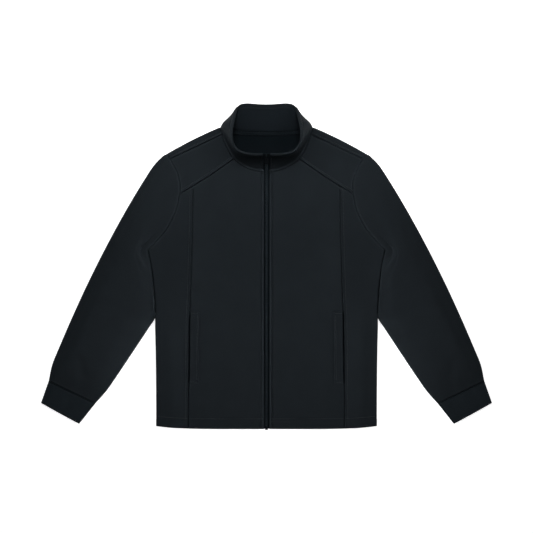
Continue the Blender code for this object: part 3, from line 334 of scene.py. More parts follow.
def front_height(points):
    """Top of the front layer, before its seams."""
    inside = nearest_edge(points)
    settled = np.full(inside.shape, 2 * CLOTH + AIR)
    for x0, h0, x1, h1, left, right, height in BODY_FOLDS:
        across, share = beside_run((x0, h0), (x1, h1), points)
        half_width = np.where(across > 0, left, right)
        settled += soft_fold(across, np.clip(share, 0.0, 1.0), half_width, height)
    high_up = smooth(points[..., 1], 470.0, 590.0)
    settled += SHOULDER_FULL * high_up * smooth(np.abs(points[..., 0]), 40.0, 110.0)
    top = mix(2 * FOLD, settled, smooth(inside, FOLD, FOLD + FOLD_SPREAD))
    held = 1 - smooth(gap_to(neck_front.points, points), 0.0, NECK_SPREAD)
    top += NECK_LIFT * held * (1 - smooth(points[..., 1], 640.0, NECK_POINT[1] - 8))
    gap, at = beside(armhole.points, points)
    top += 1.5 * np.exp(-gap / 5.5) * smooth(at, 8.0, 40.0) * smooth(ARM_END - at, 30.0, 110.0)
    top += side_slack(points)
    return top - FOLD + rolled(inside, FOLD)


def back_height(points):
    return FOLD - rolled(nearest_edge(points), FOLD)


# ---------------------------------------------------------------- seams

# rows of stitches, from the seam or the folded edge beside them
ZIP_STITCH, PRINCESS_STITCH, YOKE_STITCH, STRIP_STITCH, WELT_STITCH = 5.9, 7.0, 6.8, 5.2, 3.9


def ditch(distance, deep=2.4, wide=0.85):
    """The cloth dips into a seam."""
    return -deep * bell(distance, 0.0, wide)


def lip(distance, wide, high):
    """Seam allowances turned to one side: the cloth is highest at the seam and thins away from it."""
    return high * smooth(distance, 0.0, 0.9) * (1 - smooth(distance, 0.4, wide))


def groove(distance, at, deep=0.45, wide=0.8):
    """A row of topstitches draws the cloth down."""
    return -deep * bell(distance, at, wide)


def around_welt(points, at, wide, high):
    """A ridge or a dip in the front that runs round the sewn-down edges of the pocket's welt."""
    x, h = points[..., 0], points[..., 1]
    middle = princess_x(h) - POCKET_SLIT - WELT_WIDE / 2
    aside = np.maximum(middle - WELT_WIDE / 2 - x, 0.0)
    above = np.maximum(np.maximum(WELT_LOW - h, h - WELT_HIGH), 0.0)
    away = np.hypot(aside, above)
    outside = smooth(away, 0.0, 0.5) * (1 - smooth(x - middle, WELT_WIDE / 2 - 4.0, WELT_WIDE / 2 + 2.0))
    return high * outside * bell(away, at, wide)


def front_seams(points, panel):
    """What the seams add to a front panel's height."""
    x, h = points[..., 0], points[..., 1]
    neck, arm = gap_to(neck_front.points, points), gap_to(armhole.points, points)
    yoke, strip = gap_to(yoke_seam, points), gap_to(strip_line, points)
    total = np.zeros(x.shape)
    if panel in ("front", "side"):
        high = h - hem_h(x)
        total += 1.3 * bell(high, 20.8, 1.6) + groove(high, 24.6, 0.25)
        total += groove(high, HEM_DEEP, 0.9, 0.9)
        princess = gap_to(princess_line, points)
        total += ditch(princess) + ditch(yoke, 2.4, 1.1) - 0.2 * bell(yoke, 0.0, 3.0)
    if panel == "side":
        total += lip(princess, 6.0, 0.7) + groove(princess, PRINCESS_STITCH, 0.2)
        total += ditch(arm)
    if panel == "front":
        total -= 0.2 * bell(princess, 0.0, 3.0)
        edge = np.abs(x) - ZIP_HALF
        total += 0.9 * np.clip(edge * (5.4 - edge) / 7.3, 0.0, 1.0) ** 0.7 + groove(edge, 6.0, 1.9, 1.0)
        total += 0.25 * bell(edge, 9.4, 2.2)
        total += ditch(neck, 1.8, 0.7)
        total += around_welt(points, 0.6, 1.5, -1.7) + around_welt(points, 4.6, 2.2, 0.5)
    if panel == "yoke":
        total += ditch(yoke, 2.0) + lip(yoke, 6.6, 2.2) + groove(yoke, YOKE_STITCH, 0.3)
        total += ditch(arm) + ditch(strip, 2.2, 1.0) - 0.2 * bell(strip, 0.0, 3.0)
        total += ditch(neck, 1.8, 0.7)
    if panel == "strip":
        total += ditch(strip, 1.8) + lip(strip, 6.4, 2.4) + groove(strip, 5.6, 0.3) + ditch(arm)
    return total


def front_top(points, panel):
    inside = smooth(nearest_edge(points), 0.0, FOLD)
    return front_height(points) + inside * front_seams(points, panel)


# ---------------------------------------------------------------- patches


def spread(length, low_offsets, high_offsets, cell):
    """Stations along a length: close together at its ends, and even between."""
    low, high = np.asarray(low_offsets, float), length - np.asarray(high_offsets, float)[::-1]
    count = max(2, round((high[0] - low[-1]) / cell))
    return np.concatenate((low, np.linspace(low[-1], high[0], count + 1)[1:-1], high))


SEAM_OFFSETS = (0.0, 0.5, 1.0, 1.6, 2.3, 3.1, 4.0, 5.0, 6.0, 7.0, 8.2)
PLAIN_OFFSETS = (0.0, 0.5, 1.1, 1.8, 2.6, 3.6)
ROLL_OFFSETS = tuple(FOLD * (1 - math.cos(math.radians(a))) for a in range(0, 91, 15)) + (5.2, 6.4, 8.0)


def along(path, share):
    """Points of a path at shares of its length."""
    reach = reach_of(path) / reach_of(path)[-1]
    return on_line(path, reach, share)


def patch(left, right, bottom, top, rows, low, high, cell):
    """Plan points between four edges. low and high are the columns' offsets from left and right."""
    a, b = along(left, rows), along(right, rows)
    width = np.linalg.norm(b - a, axis=1)
    typical = spread(np.median(width), low, high, cell)
    inner = np.linspace(0.0, 1.0, len(typical) - len(low) - len(high) + 2)
    u = []
    for long in width:
        scale = min(1.0, long / (1.2 * (low[-1] + high[-1])))
        first, last = np.array(low) * scale / long, 1 - np.array(high)[::-1] * scale / long
        u.append(np.concatenate((first[:-1], mix(first[-1], last[0], inner), last[1:])))
    u = np.array(u)
    v = np.asarray(rows)[:, None, None]
    edges = mix(a[:, None], b[:, None], u[..., None])
    ends = mix(along(bottom, u), along(top, u), v)
    corners = mix(mix(a[0], b[0], u[..., None]), mix(a[-1], b[-1], u[..., None]), v)
    return edges + ends - corners


def drawn_in(plan, first=0.0, last=0.0, left=0.0, right=0.0):
    """Draws the named edges of a patch in by half a seam's gap."""
    plan = plan.copy()
    for edge, inner, by in ((0, 1, left), (-1, -2, right)):
        plan[:, edge] += unit(plan[:, inner] - plan[:, edge]) * by
    for edge, inner, by in ((0, 1, first), (-1, -2, last)):
        plan[edge] += unit(plan[inner] - plan[edge]) * by
    return plan


def raise_to(plan, heights):
    return np.concatenate((plan, heights[..., None]), axis=-1)


# ---------------------------------------------------------------- meshes


PAINTED_HIGHLIGHT_TO = 596.0  # as far up as the painted highlight on the folds beside the zip runs
# line, the painted highlight stripe's distance from it, half width, strength
PAINTED_HIGHLIGHTS = (
    (armhole.points, 2.6, 1.9, 0.9),
    (strip_line, 2.8, 1.7, 0.7),
    (yoke_seam, 2.6, 1.4, 0.35),
)


def painted_seam_highlight(points):
    """Painted highlight beside the seams and on the folds beside the zip, 0 to 1."""
    x, h = points[..., 0], points[..., 1]
    fold = 1.3 * bell(np.abs(x) - ZIP_HALF, 2.8, 1.8)
    value = np.where(h < PAINTED_HIGHLIGHT_TO, fold, 0.0)
    for path, at, wide, share in PAINTED_HIGHLIGHTS:
        distance = gap_to(path, points)
        value = np.maximum(value, share * bell(distance, at, wide))
    return value


def grid_faces(rows, columns, closed):
    """The faces between a grid's points, as rows of four."""
    j, k = np.meshgrid(np.arange(rows - 1), np.arange(columns if closed else columns - 1), indexing="ij")
    n = (k + 1) % columns
    faces = np.stack((j * columns + k, j * columns + n, (j + 1) * columns + n, (j + 1) * columns + k), -1)
    return faces.reshape(-1, 4)


def add_piece(name, points, faces, material):
    """A mesh from points in millimetres."""
    mesh = bpy.data.meshes.new(name)
    mesh.from_pydata(((points - (0.0, MIDDLE, 0.0)) * MM).tolist(), [], faces)
    mesh.shade_smooth()
    mesh.materials.append(material)
    piece = bpy.data.objects.new(name, mesh)
    bpy.context.scene.collection.objects.link(piece)
    return piece


def make_mesh(name, grid, cut, material, side=1, closed=False, flip=False, painted_highlight=None):
    """A piece from a grid of points and the same grid on its cut cloth, both in millimetres."""
    faces = grid_faces(grid.shape[0], grid.shape[1], closed)
    if flip != (side < 0):
        faces = faces[:, ::-1]
    piece = add_piece(name, grid.reshape(-1, 3) * (side, 1.0, 1.0), faces.tolist(), material)
    mesh = piece.data
    grain = mesh.uv_layers.new(name="grain")
    corners = np.empty(len(mesh.loops), np.int32)
    mesh.loops.foreach_get("vertex_index", corners)
    flat_cut = cut.reshape(-1, 2) * MM
    grain.data.foreach_set("uv", flat_cut[corners].astype(np.float32).ravel())
    # the painted highlight's strength at each point, which the knit's material reads
    if painted_highlight is not None:
        shine = mesh.attributes.new("painted_highlight", "FLOAT", "POINT")
        shine.data.foreach_set("value", painted_highlight.astype(np.float32).ravel())
    return piece


def cloth_wall(piece, thickness=SHELL):
    wall = piece.modifiers.new("cloth", "SOLIDIFY")
    wall.thickness = thickness * MM
    wall.offset = -1.0
    return piece


def dress(piece, node):
    """A cut piece in place of its named solid, which is hidden; the piece rides on the jacket."""
    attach(piece, "jacket")
    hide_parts(node)


# ---------------------------------------------------------------- materials


def linear(code):
    """Linear colour from an sRGB hex code."""
    parts = [int(code[k : k + 2], 16) / 255 for k in (1, 3, 5)]
    return [p / 12.92 if p <= 0.04045 else ((p + 0.055) / 1.055) ** 2.4 for p in parts] + [1.0]


def add_node(tree, kind, settings=None, inputs=None):
    """Adds a node with its settings; an input is a value, or a socket that is linked to it."""
    made = tree.nodes.new(kind)
    for name, value in (settings or {}).items():
        setattr(made, name, value)
    for name, value in (inputs or {}).items():
        if isinstance(value, bpy.types.NodeSocket):
            tree.links.new(value, made.inputs[name])
        else:
            made.inputs[name].default_value = value
    return made


def new_material(name):
    material = bpy.data.materials.new(name)
    material.use_nodes = True
    return material, material.node_tree, material.node_tree.nodes["Principled BSDF"]


def shade_between(tree, tone, dark, light, low=0.0, high=1.0):
    """A colour between two shades, by a tone."""
    ramp = add_node(tree, "ShaderNodeValToRGB", {}, {"Fac": tone})
    for stop, at, code in zip(ramp.color_ramp.elements, (low, high), (dark, light)):
        stop.position = at
        stop.color = linear(code)
    return ramp.outputs["Color"]


def finish_surface(tree, shader, colour, roughness, level=None, bump=None):
    """Gives a surface its colour, its relief and its gloss."""
    tree.links.new(colour, shader.inputs["Base Color"])
    if bump:
        tree.links.new(bump.outputs["Normal"], shader.inputs["Normal"])
    shader.inputs["Roughness"].default_value = roughness
    if level is not None:
        shader.inputs["Specular IOR Level"].default_value = level
        shader.inputs["Specular Tint"].default_value = linear("#A9C4D4")


def double_knit(name, dark, light, roughness=0.65):
    """Polyester double knit, milled: fine wales, a short even nap with a soft sheen, no gloss."""
    material, tree, shader = new_material(name)
    grain = add_node(tree, "ShaderNodeUVMap", {"uv_map": "grain"}).outputs["UV"]
    wale = 1.5 * MM  # drawn about twice as coarse as it is, so that it shows
    loops = []
    for direction, distortion in (("X", 0.6), ("Y", 0.9)):
        bands = {"wave_type": "BANDS", "bands_direction": direction, "wave_profile": "SIN"}
        size = {"Vector": grain, "Scale": 2 * math.pi / wale / 20, "Distortion": distortion}
        loops.append(add_node(tree, "ShaderNodeTexWave", bands, size).outputs["Fac"])
    # the nap's tufts are drawn about 2.4 mm wide, several times too coarse, so that they show
    fine = {"Vector": grain, "Scale": 420.0, "Detail": 3.0, "Roughness": 0.65}
    nap = add_node(tree, "ShaderNodeTexNoise", {}, fine).outputs["Fac"]
    # the dye and the nap are faintly uneven over about 40 mm
    broad = {"Vector": grain, "Scale": 26.0, "Detail": 2.0, "Roughness": 0.5}
    clouds = add_node(tree, "ShaderNodeTexNoise", {}, broad).outputs["Fac"]
    stitches = add_node(tree, "ShaderNodeMath", {"operation": "MULTIPLY"}, dict(enumerate(loops)))
    relief = add_node(tree, "ShaderNodeMath", {"operation": "ADD"}, {0: stitches.outputs[0], 1: nap})
    raised = {"Height": relief.outputs[0], "Distance": 0.18 * MM, "Strength": 0.6}
    bump = add_node(tree, "ShaderNodeBump", {}, raised)
    mottle = 0.0
    for tone, strength in ((nap, 0.75), (clouds, 0.18)):
        sums = {0: tone, 1: strength, 2: mottle}
        mottle = add_node(tree, "ShaderNodeMath", {"operation": "MULTIPLY_ADD"}, sums).outputs[0]
    colour = shade_between(tree, mottle, dark, light, 0.26, 0.68)
    # painted highlight: the colour is made lighter by the mesh's highlight attribute, beside seams and
    # along edges
    painted_highlight = add_node(tree, "ShaderNodeAttribute", {"attribute_name": "painted_highlight"}).outputs["Fac"]
    lighter = add_node(tree, "ShaderNodeMath", {"operation": "MULTIPLY_ADD"}, {0: painted_highlight, 1: 0.42, 2: 1.0})
    scaled = {0: colour, "Scale": lighter.outputs[0]}
    shown = add_node(tree, "ShaderNodeVectorMath", {"operation": "SCALE"}, scaled)
    finish_surface(tree, shader, shown.outputs["Vector"], roughness, 0.05, bump)
    shader.inputs["Sheen Weight"].default_value = 0.02
    shader.inputs["Sheen Roughness"].default_value = 0.5
    shader.inputs["Sheen Tint"].default_value = linear("#9FB2BF")
    return material


def woven_tape(name, dark, light):
    """Polyester twill tape: fine slanting ribs, a little smoother than the knit."""
    material, tree, shader = new_material(name)
    grain = add_node(tree, "ShaderNodeUVMap", {"uv_map": "grain"}).outputs["UV"]
    rib = 1.0 * MM  # drawn about twice as coarse as it is, so that it shows
    bands = {"wave_type": "BANDS", "bands_direction": "DIAGONAL"}
    size = {"Vector": grain, "Scale": 2 * math.pi / rib / 20, "Distortion": 0.2}
    twill = add_node(tree, "ShaderNodeTexWave", bands, size).outputs["Fac"]
    colour = shade_between(tree, twill, dark, light)
    bump = add_node(tree, "ShaderNodeBump", {}, {"Height": twill, "Distance": 0.15 * MM, "Strength": 0.8})
    finish_surface(tree, shader, colour, 0.7, 0.08, bump)
    return material


def fine_grained(name, scale, detail, dark, light, roughness, level=None, relief=None):
    """An even material, shaded by a fine noise and perhaps uneven with it."""
    material, tree, shader = new_material(name)
    place = add_node(tree, "ShaderNodeTexCoord").outputs["Object"]
    noise = {"Vector": place, "Scale": scale, "Detail": detail}
    tone = add_node(tree, "ShaderNodeTexNoise", {}, noise).outputs["Fac"]
    colour, bump = shade_between(tree, tone, dark, light), None
    if relief:
        raised = {"Height": tone, "Distance": relief * MM, "Strength": 0.5}
        bump = add_node(tree, "ShaderNodeBump", {}, raised)
    finish_surface(tree, shader, colour, roughness, level, bump)
    return material


BODY_KNIT = double_knit("double_knit_body", "#15181B", "#1D2124")
CUFF_KNIT = double_knit("double_knit_cuff", "#15191C", "#1D2226")
# painted shade: two darker copies of the knit, for the collar's inner face and for the back's inside seen
# through the neck, where shade falls
PAINTED_COLLAR_SHADE = double_knit("painted_shade_knit_collar", "#101417", "#181C20")
PAINTED_BACK_SHADE = double_knit("painted_shade_knit_back", "#070B0E", "#0C1013", 0.8)
NECK_TWILL = woven_tape("twill_neck_tape", "#090D10", "#0D1114")
ZIP_TWILL = woven_tape("twill_zip_tape", "#0B0F12", "#101518")
# Polyester core-spun thread: twisted, with a faint shine on each stitch. Its twist is drawn about
# 1.1 mm long, coarser than it is, so that it shows
THREAD = fine_grained("polyester_thread", 900.0, 1.0, "#14181B", "#20262A", 0.45)
# Nylon monofilament, dyed through: smooth, with small sharp glints, its dye uneven over about 3 mm
COIL = fine_grained("nylon_coil", 300.0, 2.0, "#1B2125", "#272D31", 0.5, 0.12)
# Zinc casting under black lacquer: satin, orange-peeled over about 0.7 mm, lighter on the peel's tops
ZINC = fine_grained("lacquered_zinc", 1400.0, 2.0, "#07080A", "#0E1113", 0.17, 0.16, 0.05)


# ---------------------------------------------------------------- body panels

CELL, BACK_CELL = 4.5, 7.0  # the meshes' usual cell
YOKE_HIGH, STRIP_HIGH = 75.0, 16.5
CORNER_OUT = 0.9  # the side's fold runs out to the sleeve's corner
HEM_OFFSETS, CORNER_OFFSETS = (0.0, 0.7, 1.6), (0.0, 0.8, 1.8, 3.0)


def hem_fold(grid, cut):
    """Turns the first row under, round the hem's fold and up inside."""
    rows, cuts = [], []
    edge, edge_cut = grid[0], cut[0]
    for distance in (HEM_TURNED, HEM_TURNED / 2, 3.0):
        rows.append(edge + (0.0, distance, -2 * HEM_ROUND))
        cuts.append(edge_cut - (0.0, distance + math.pi * HEM_ROUND))
    for angle in (150.0, 120.0, 90.0, 60.0, 30.0):
        a = math.radians(angle)
        rows.append(edge + (0.0, HEM_ROUND * (1 - math.sin(a)), HEM_ROUND * (math.cos(a) - 1)))
        cuts.append(edge_cut - (0.0, HEM_ROUND * a))
    grid = grid.copy()
    near = grid[:, :, 1] - edge[:, 1]
    grid[:, :, 1] += (HEM_ROUND - HEM_EASE) * (1 - smooth(near, 0.0, 5.0))
    rows = np.array(rows) - (0.0, HEM_EASE, 0.0)
    return np.concatenate((rows, grid)), np.concatenate((np.array(cuts), cut))


def pocket_open(h):
    """1 beside the pocket's mouth, running out at its ends."""
    return smooth(h, WELT_LOW - 1.0, WELT_LOW + 2.0) * (1 - smooth(h, WELT_HIGH - 2.0, WELT_HIGH + 1.0))


def from_hem(edge, h):
    """An upright edge of a panel, from the hem up."""
    return np.column_stack((edge, np.maximum(h, hem_h(edge))))


def along_hem(start, end):
    x = np.linspace(start, end, 20)
    return np.column_stack((x, hem_h(x)))


def princess_edge():
    h = np.linspace(0.0, 1.0, 80) * (princess_top[1] - 3.0)
    return np.concatenate((from_hem(princess_x(h), h), [princess_top]))


def side_fold():
    h = np.linspace(0.0, UNDERARM[1], 60)
    edge = side_x(h)
    edge[-1] += CORNER_OUT
    return from_hem(edge, h)


def fold_rows(right, fold, last, cell):
    """Rows of a panel with an underarm corner, which is a row."""
    total, to_corner = reach_of(right)[-1], reach_of(fold)[-1]
    lower = spread(to_corner, HEM_OFFSETS, CORNER_OFFSETS, cell)
    upper = to_corner + spread(total - to_corner, CORNER_OFFSETS, last, cell)[1:]
    return np.concatenate((lower, upper)) / total


def front_panel():
    left = np.array(((ZIP_HALF, 0.0), (ZIP_HALF, ZIP_NECK)))
    bottom = along_hem(ZIP_HALF, princess_x(0.0)[0])
    neck = neck_front.part(0.0, neck_front.length_to(YOKE_NECK))
    top = np.concatenate((neck, yoke_line(0.0, PRINCESS_SHARE)[1:]))
    rows = spread(ZIP_NECK, HEM_OFFSETS, SEAM_OFFSETS, CELL) / ZIP_NECK
    plan = patch(left, princess_edge(), bottom, top, rows, SEAM_OFFSETS, SEAM_OFFSETS, CELL)
    slit = POCKET_SLIT * pocket_open(plan[:, -1, 1])
    near = np.clip(1 - (plan[:, -1:, 0] - plan[..., 0]) / 30.0, 0.0, 1.0)
    plan = drawn_in(plan, last=SEAM_GAP / 2, right=SEAM_GAP / 2)
    plan[..., 0] -= slit[:, None] * near
    return plan


def side_panel():
    fold = side_fold()
    arm = armhole.part(armhole.length_to(YOKE_ARM), ARM_END)[::-1]
    right = np.concatenate((fold, arm))
    bottom = along_hem(princess_x(0.0)[0], SIDE[0][1])
    top = yoke_line(PRINCESS_SHARE, 1.0)
    rows = fold_rows(right, fold, SEAM_OFFSETS, CELL)
    plan = patch(princess_edge(), right, bottom, top, rows, SEAM_OFFSETS, ROLL_OFFSETS, CELL)
    return drawn_in(plan, last=SEAM_GAP / 2, left=SEAM_GAP / 2, right=SEAM_GAP / 2)


def yoke_panel():
    left = neck_front.part(neck_front.length_to(YOKE_NECK), neck_front.length_to(STRIP_NECK))
    right = armhole.part(armhole.length_to(STRIP_ARM), armhole.length_to(YOKE_ARM))[::-1]
    rows = spread(YOKE_HIGH, SEAM_OFFSETS, SEAM_OFFSETS, CELL) / YOKE_HIGH
    plan = patch(left, right, yoke_seam, strip_line, rows, PLAIN_OFFSETS, SEAM_OFFSETS, CELL)
    return drawn_in(plan, SEAM_GAP / 2, SEAM_GAP / 2, SEAM_GAP / 2, SEAM_GAP / 2)


def strip_panel():
    """The back's strip over the shoulder, from the forward seam to the rolled edge."""
    left = neck_front.part(neck_front.length_to(STRIP_NECK), neck_front.length)
    right = armhole.part(0.0, armhole.length_to(STRIP_ARM))[::-1]
    top = np.array((NECK_POINT, SHOULDER_TIP))
    rows = spread(STRIP_HIGH, SEAM_OFFSETS[:-2], ROLL_OFFSETS[:-2], 1.5) / STRIP_HIGH
    plan = patch(left, right, strip_line, top, rows, PLAIN_OFFSETS, PLAIN_OFFSETS, CELL)
    return drawn_in(plan, first=SEAM_GAP / 2, left=SEAM_GAP / 2, right=SEAM_GAP / 2)


def back_panel():
    fold = side_fold()
    right = np.concatenate((fold, armhole.points[::-1]))
    left = np.array(((0.0, 0.0), (0.0, NECK_BACK[-1][1])))
    bottom = along_hem(0.0, SIDE[0][1])
    top = np.concatenate((neck_back.points[::-1], [SHOULDER_TIP]))
    rows = fold_rows(right, fold, ROLL_OFFSETS, BACK_CELL)
    return patch(left, right, bottom, top, rows, (0.0, 4.0), ROLL_OFFSETS, BACK_CELL)


SIDES = (("left", 1), ("right", -1))
PANELS = {"yoke": yoke_panel, "front": front_panel, "side": side_panel}


def make_panel(kind, side_name, side):
    plan = PANELS[kind]()
    grid, cut = raise_to(plan, front_top(plan, kind)), plan
    if kind == "front":
        grid[..., 0] += (ZIP_EDGE[side] - ZIP_HALF) * (1 - smooth(grid[..., 0], ZIP_HALF, 60.0))
    if kind != "yoke":
        grid, cut = hem_fold(grid, plan)
    name, painted_highlight = f"{kind}_{side_name}", painted_seam_highlight(grid[..., :2])
    piece = make_mesh(f"{name}_cloth", grid, cut, BODY_KNIT, side, painted_highlight=painted_highlight)
    dress(cloth_wall(piece), name)


def make_back():
    plan = back_panel()
    half = eased_shoulder(raise_to(plan, back_height(plan)))
    whole = np.concatenate((half[:, :0:-1] * (-1, 1, 1), half), axis=1)
    flat = np.concatenate((plan[:, :0:-1] * (-1, 1), plan), axis=1)
    piece = make_mesh("back_cloth", whole, flat, BODY_KNIT, flip=True)
    # the back's inner face, seen inside the neck, takes the darker copy of the knit: painted shade
    piece.data.materials.append(PAINTED_BACK_SHADE)
    cloth_wall(piece, BACK_SHELL).modifiers["cloth"].material_offset = 1
    for side_name, side in SIDES:
        plan = strip_panel()
        grid = eased_shoulder(raise_to(plan, front_top(plan, "strip")))
        painted_highlight = painted_seam_highlight(plan)
        strip = make_mesh(f"shoulder_strip_{side_name}", grid, plan, BODY_KNIT, side, painted_highlight=painted_highlight)
        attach(cloth_wall(strip), "jacket")
    dress(piece, "back")


# ---------------------------------------------------------------- sleeves

# shares of the sleeve's length where its sections are drawn
SLEEVE_RINGS = (0.0, 0.008, 0.018, 0.06, 0.12, 0.2, 0.27, 0.34, 0.42)
SLEEVE_RINGS += (0.5, 0.56, 0.62, 0.69, 0.76, 0.84, 0.92, 1.0)
OUTER_LONG, INNER_LONG, SLEEVE_LONG = 660.0, 330.0, 600.0  # its edges from the armhole, and its cut
SLEEVE_ROWS, SLEEVE_COLUMNS = 140, 52
ROUND_TO = 0.02  # the sections up to here follow the armhole
NET_LONG, NET_WIDE, NET_ROUNDS = 48, 40, 1500  # its net's rows and columns, and how often it is eased


def sleeve_inner(distance):
    """The sleeve's inner edge: down the body's side to the fork, and then to the cuff."""
    if distance <= BESIDE_BODY:
        h = UNDERARM[1] - distance
        clear = SIDE_CLEAR + UNDERARM_EASE * (1 - smooth(distance, 0.0, 45.0))
        return np.array((side_x(h)[0] + clear, h))
    return sleeve_lower.at(distance - BESIDE_BODY)


def sleeve_end(v, edge):
    """Where a section of the sleeve starts at its outer edge, 0, or ends at its inner edge, 1."""
    s = v / FORK_SHARE if v <= FORK_SHARE else (v - FORK_SHARE) / (1 - FORK_SHARE)
    if edge:
        if v <= FORK_SHARE:
            return sleeve_inner(s**0.75 * BESIDE_BODY)
        ease = LOWER_EASE * smooth(s, 0.02, 0.12) * (1 - smooth(s, 0.8, 1.0))
        return sleeve_inner(BESIDE_BODY + s * sleeve_lower.length) - LOWER_OUT * ease
    at = s * SLEEVE_FORK_OUTER if v <= FORK_SHARE else mix(SLEEVE_FORK_OUTER, sleeve_outer.length, s)
    ease = OUTER_EASE * smooth(at, 0.0, 60.0) * (1 - smooth(v, 0.9, 1.0))
    return sleeve_outer.at(at) + sleeve_outer.normal(at) * ease


def sleeve_net():
    """A net over the sleeve's plan, relaxed until its lines run round the underarm in order."""
    share = np.linspace(0.0, 1.0, NET_WIDE + 1)[:, None]
    rows = [armhole.at(share[:, 0] * ARM_END)]
    for j in range(1, NET_LONG + 1):
        v = j / NET_LONG
        rows.append(mix(sleeve_end(v, 0), sleeve_end(v, 1), share))
    net = np.array(rows)
    for _ in range(NET_ROUNDS):
        down = (net[2:, 1:-1] - net[:-2, 1:-1]) / 2
        over = (net[1:-1, 2:] - net[1:-1, :-2]) / 2
        alpha = (over**2).sum(axis=2, keepdims=True)
        gamma = (down**2).sum(axis=2, keepdims=True)
        beta = (down * over).sum(axis=2, keepdims=True)
        twist = net[2:, 2:] - net[:-2, 2:] - net[2:, :-2] + net[:-2, :-2]
        sums = alpha * (net[2:, 1:-1] + net[:-2, 1:-1]) + gamma * (net[1:-1, 2:] + net[1:-1, :-2])
        net[1:-1, 1:-1] = (sums - beta / 2 * twist) / (2 * (alpha + gamma))
    return net


def beside_armhole(a, b):
    """A line that follows the armhole from the outer edge at a, and round the underarm to b."""
    u = np.linspace(0.0, 1.0, 41)
    outer, inner = np.linalg.norm(a - SHOULDER_TIP), np.linalg.norm(b - UNDERARM)
    points = armhole.at(u * ARM_END) + armhole.normal(u * ARM_END) * mix(outer, inner, u)[:, None]
    points += (a - points[0]) * ((1 - u) ** 2)[:, None]
    start, end = armhole.normal(ARM_END), (b - UNDERARM) / inner
    turn = math.atan2(start[0] * end[1] - start[1] * end[0], start @ end)
    angles = math.atan2(start[1], start[0]) + turn * np.linspace(0.1, 1.0, 10)
    return np.concatenate((points, UNDERARM + inner * np.column_stack((np.cos(angles), np.sin(angles)))))


def sleeve_section(net, v):
    """The plan line across the sleeve at a share of its length."""
    if 0 < v <= ROUND_TO:
        return beside_armhole(sleeve_end(v, 0), sleeve_end(v, 1))
    row = v * NET_LONG
    low = min(int(row), NET_LONG - 1)
    points = mix(net[low], net[low + 1], row - low)
    if v > 0:
        away = points - UNDERARM
        far = np.linalg.norm(away, axis=1, keepdims=True)
        clear = min(22.0, 0.6 * np.linalg.norm(sleeve_end(v, 1) - UNDERARM))
        points = UNDERARM + away / far * (far**4 + clear**4) ** 0.25
        points[0], points[-1] = sleeve_end(v, 0), sleeve_end(v, 1)
    return points


def squareness(v, at, edge):
    """The sine of the angle between a section's end and the sleeve's edge that it runs to."""
    low, high = max(0.0, v - 0.02), min(1.0, v + 0.02)
    run = sleeve_end(high, edge) - sleeve_end(low, edge)
    cross = abs(run[0] * at[1] - run[1] * at[0])
    return max(0.35, cross / np.linalg.norm(run) / np.linalg.norm(at))


def inner_radius(v):
    """The sleeve's inner fold is tighter where it is tucked against the body."""
    return mix(FOLD, TUCKED_FOLD, smooth(v, 0.0, 0.12) * (1 - smooth(v, 0.46, 0.62)))


def sleeve_stations():
    """Lengths along the armhole, from the shoulder tip, where the sleeve has its columns."""
    outer = np.array(ROLL_OFFSETS)
    inner = ARM_END - np.array((0.0, 0.4, 0.9, 1.5, 2.0, UNDERARM_TURN, 3.4, 5.0))[::-1]
    return np.concatenate((outer, np.linspace(outer[-1], inner[0], SLEEVE_COLUMNS)[1:-1], inner))


def sleeve_plan():
    """Plan points of the sleeve's top, and for each the distances to both edges, row by row."""
    net = sleeve_net()
    stations, coarse = sleeve_stations(), []
    for v in SLEEVE_RINGS:
        dense = sleeve_section(net, v)
        reach = reach_of(dense)
        width, square = reach[-1], (1.0, 1.0)
        if v > 0:
            square = (squareness(v, dense[1] - dense[0], 0), squareness(v, dense[-1] - dense[-2], 1))
        first_in, last_in = FOLD / square[0], inner_radius(v) / square[1]
        middle = first_in + (stations - FOLD) * (width - first_in - last_in) / (ARM_END - 2 * FOLD)
        distance = np.where(stations < FOLD, stations / square[0], middle)
        to_end = ARM_END - stations
        distance = np.where(to_end < FOLD, width - to_end / FOLD * last_in, distance)
        if v == 0:
            distance = stations
        points = on_line(dense, reach, distance)
        facts = (distance * square[0], (width - distance) * square[1], np.full(len(distance), width))
        coarse.append(np.concatenate(([v], np.column_stack((points, *facts)).ravel())))
    near = np.array((0.0, 0.5, 1.0, 1.6, 2.3, 3.1, 4.0, 5.0, 6.0, 7.2, 8.6, 10.4)) / OUTER_LONG
    at_cuff = 1 - np.array((3.6, 2.4, 1.4, 0.6)) / INNER_LONG
    rows = np.sort(np.concatenate((near, np.linspace(near[-1], 1.0, SLEEVE_ROWS)[1:], at_cuff)))
    fine = read(coarse, rows).reshape(len(rows), len(stations), 5)
    return rows, stations, fine


def sleeve_top(v, share, from_outer, from_inner, width):
    """Top of the sleeve before its seams, at a share of its length and width."""
    radius = inner_radius(v)
    settled = np.full(share.shape, 2 * FOLD)
    for v0, u0, v1, u1, half_width, height in SLEEVE_FOLDS:
        on = (v - v0) / (v1 - v0)
        across = (share - mix(u0, u1, np.clip(on, 0.0, 1.0))) * width
        settled += np.where((on > 0) & (on < 1), soft_fold(across, on, half_width, height), 0.0)
    spread_to = np.minimum(FOLD_SPREAD, 0.28 * width)
    settled = mix(mix(2 * CLOTH + AIR, 2 * FOLD, smooth(v, 0.0, 0.1)), settled, smooth(v, 0.02, 0.12))
    top = mix(2 * FOLD, settled, smooth(from_outer, FOLD, spread_to))
    top = mix(2 * radius, top, smooth(from_inner, radius, spread_to))
    return top + read(SLEEVE_FULL, v)[..., 0] * read(SLEEVE_CROWN, share)[..., 0], radius


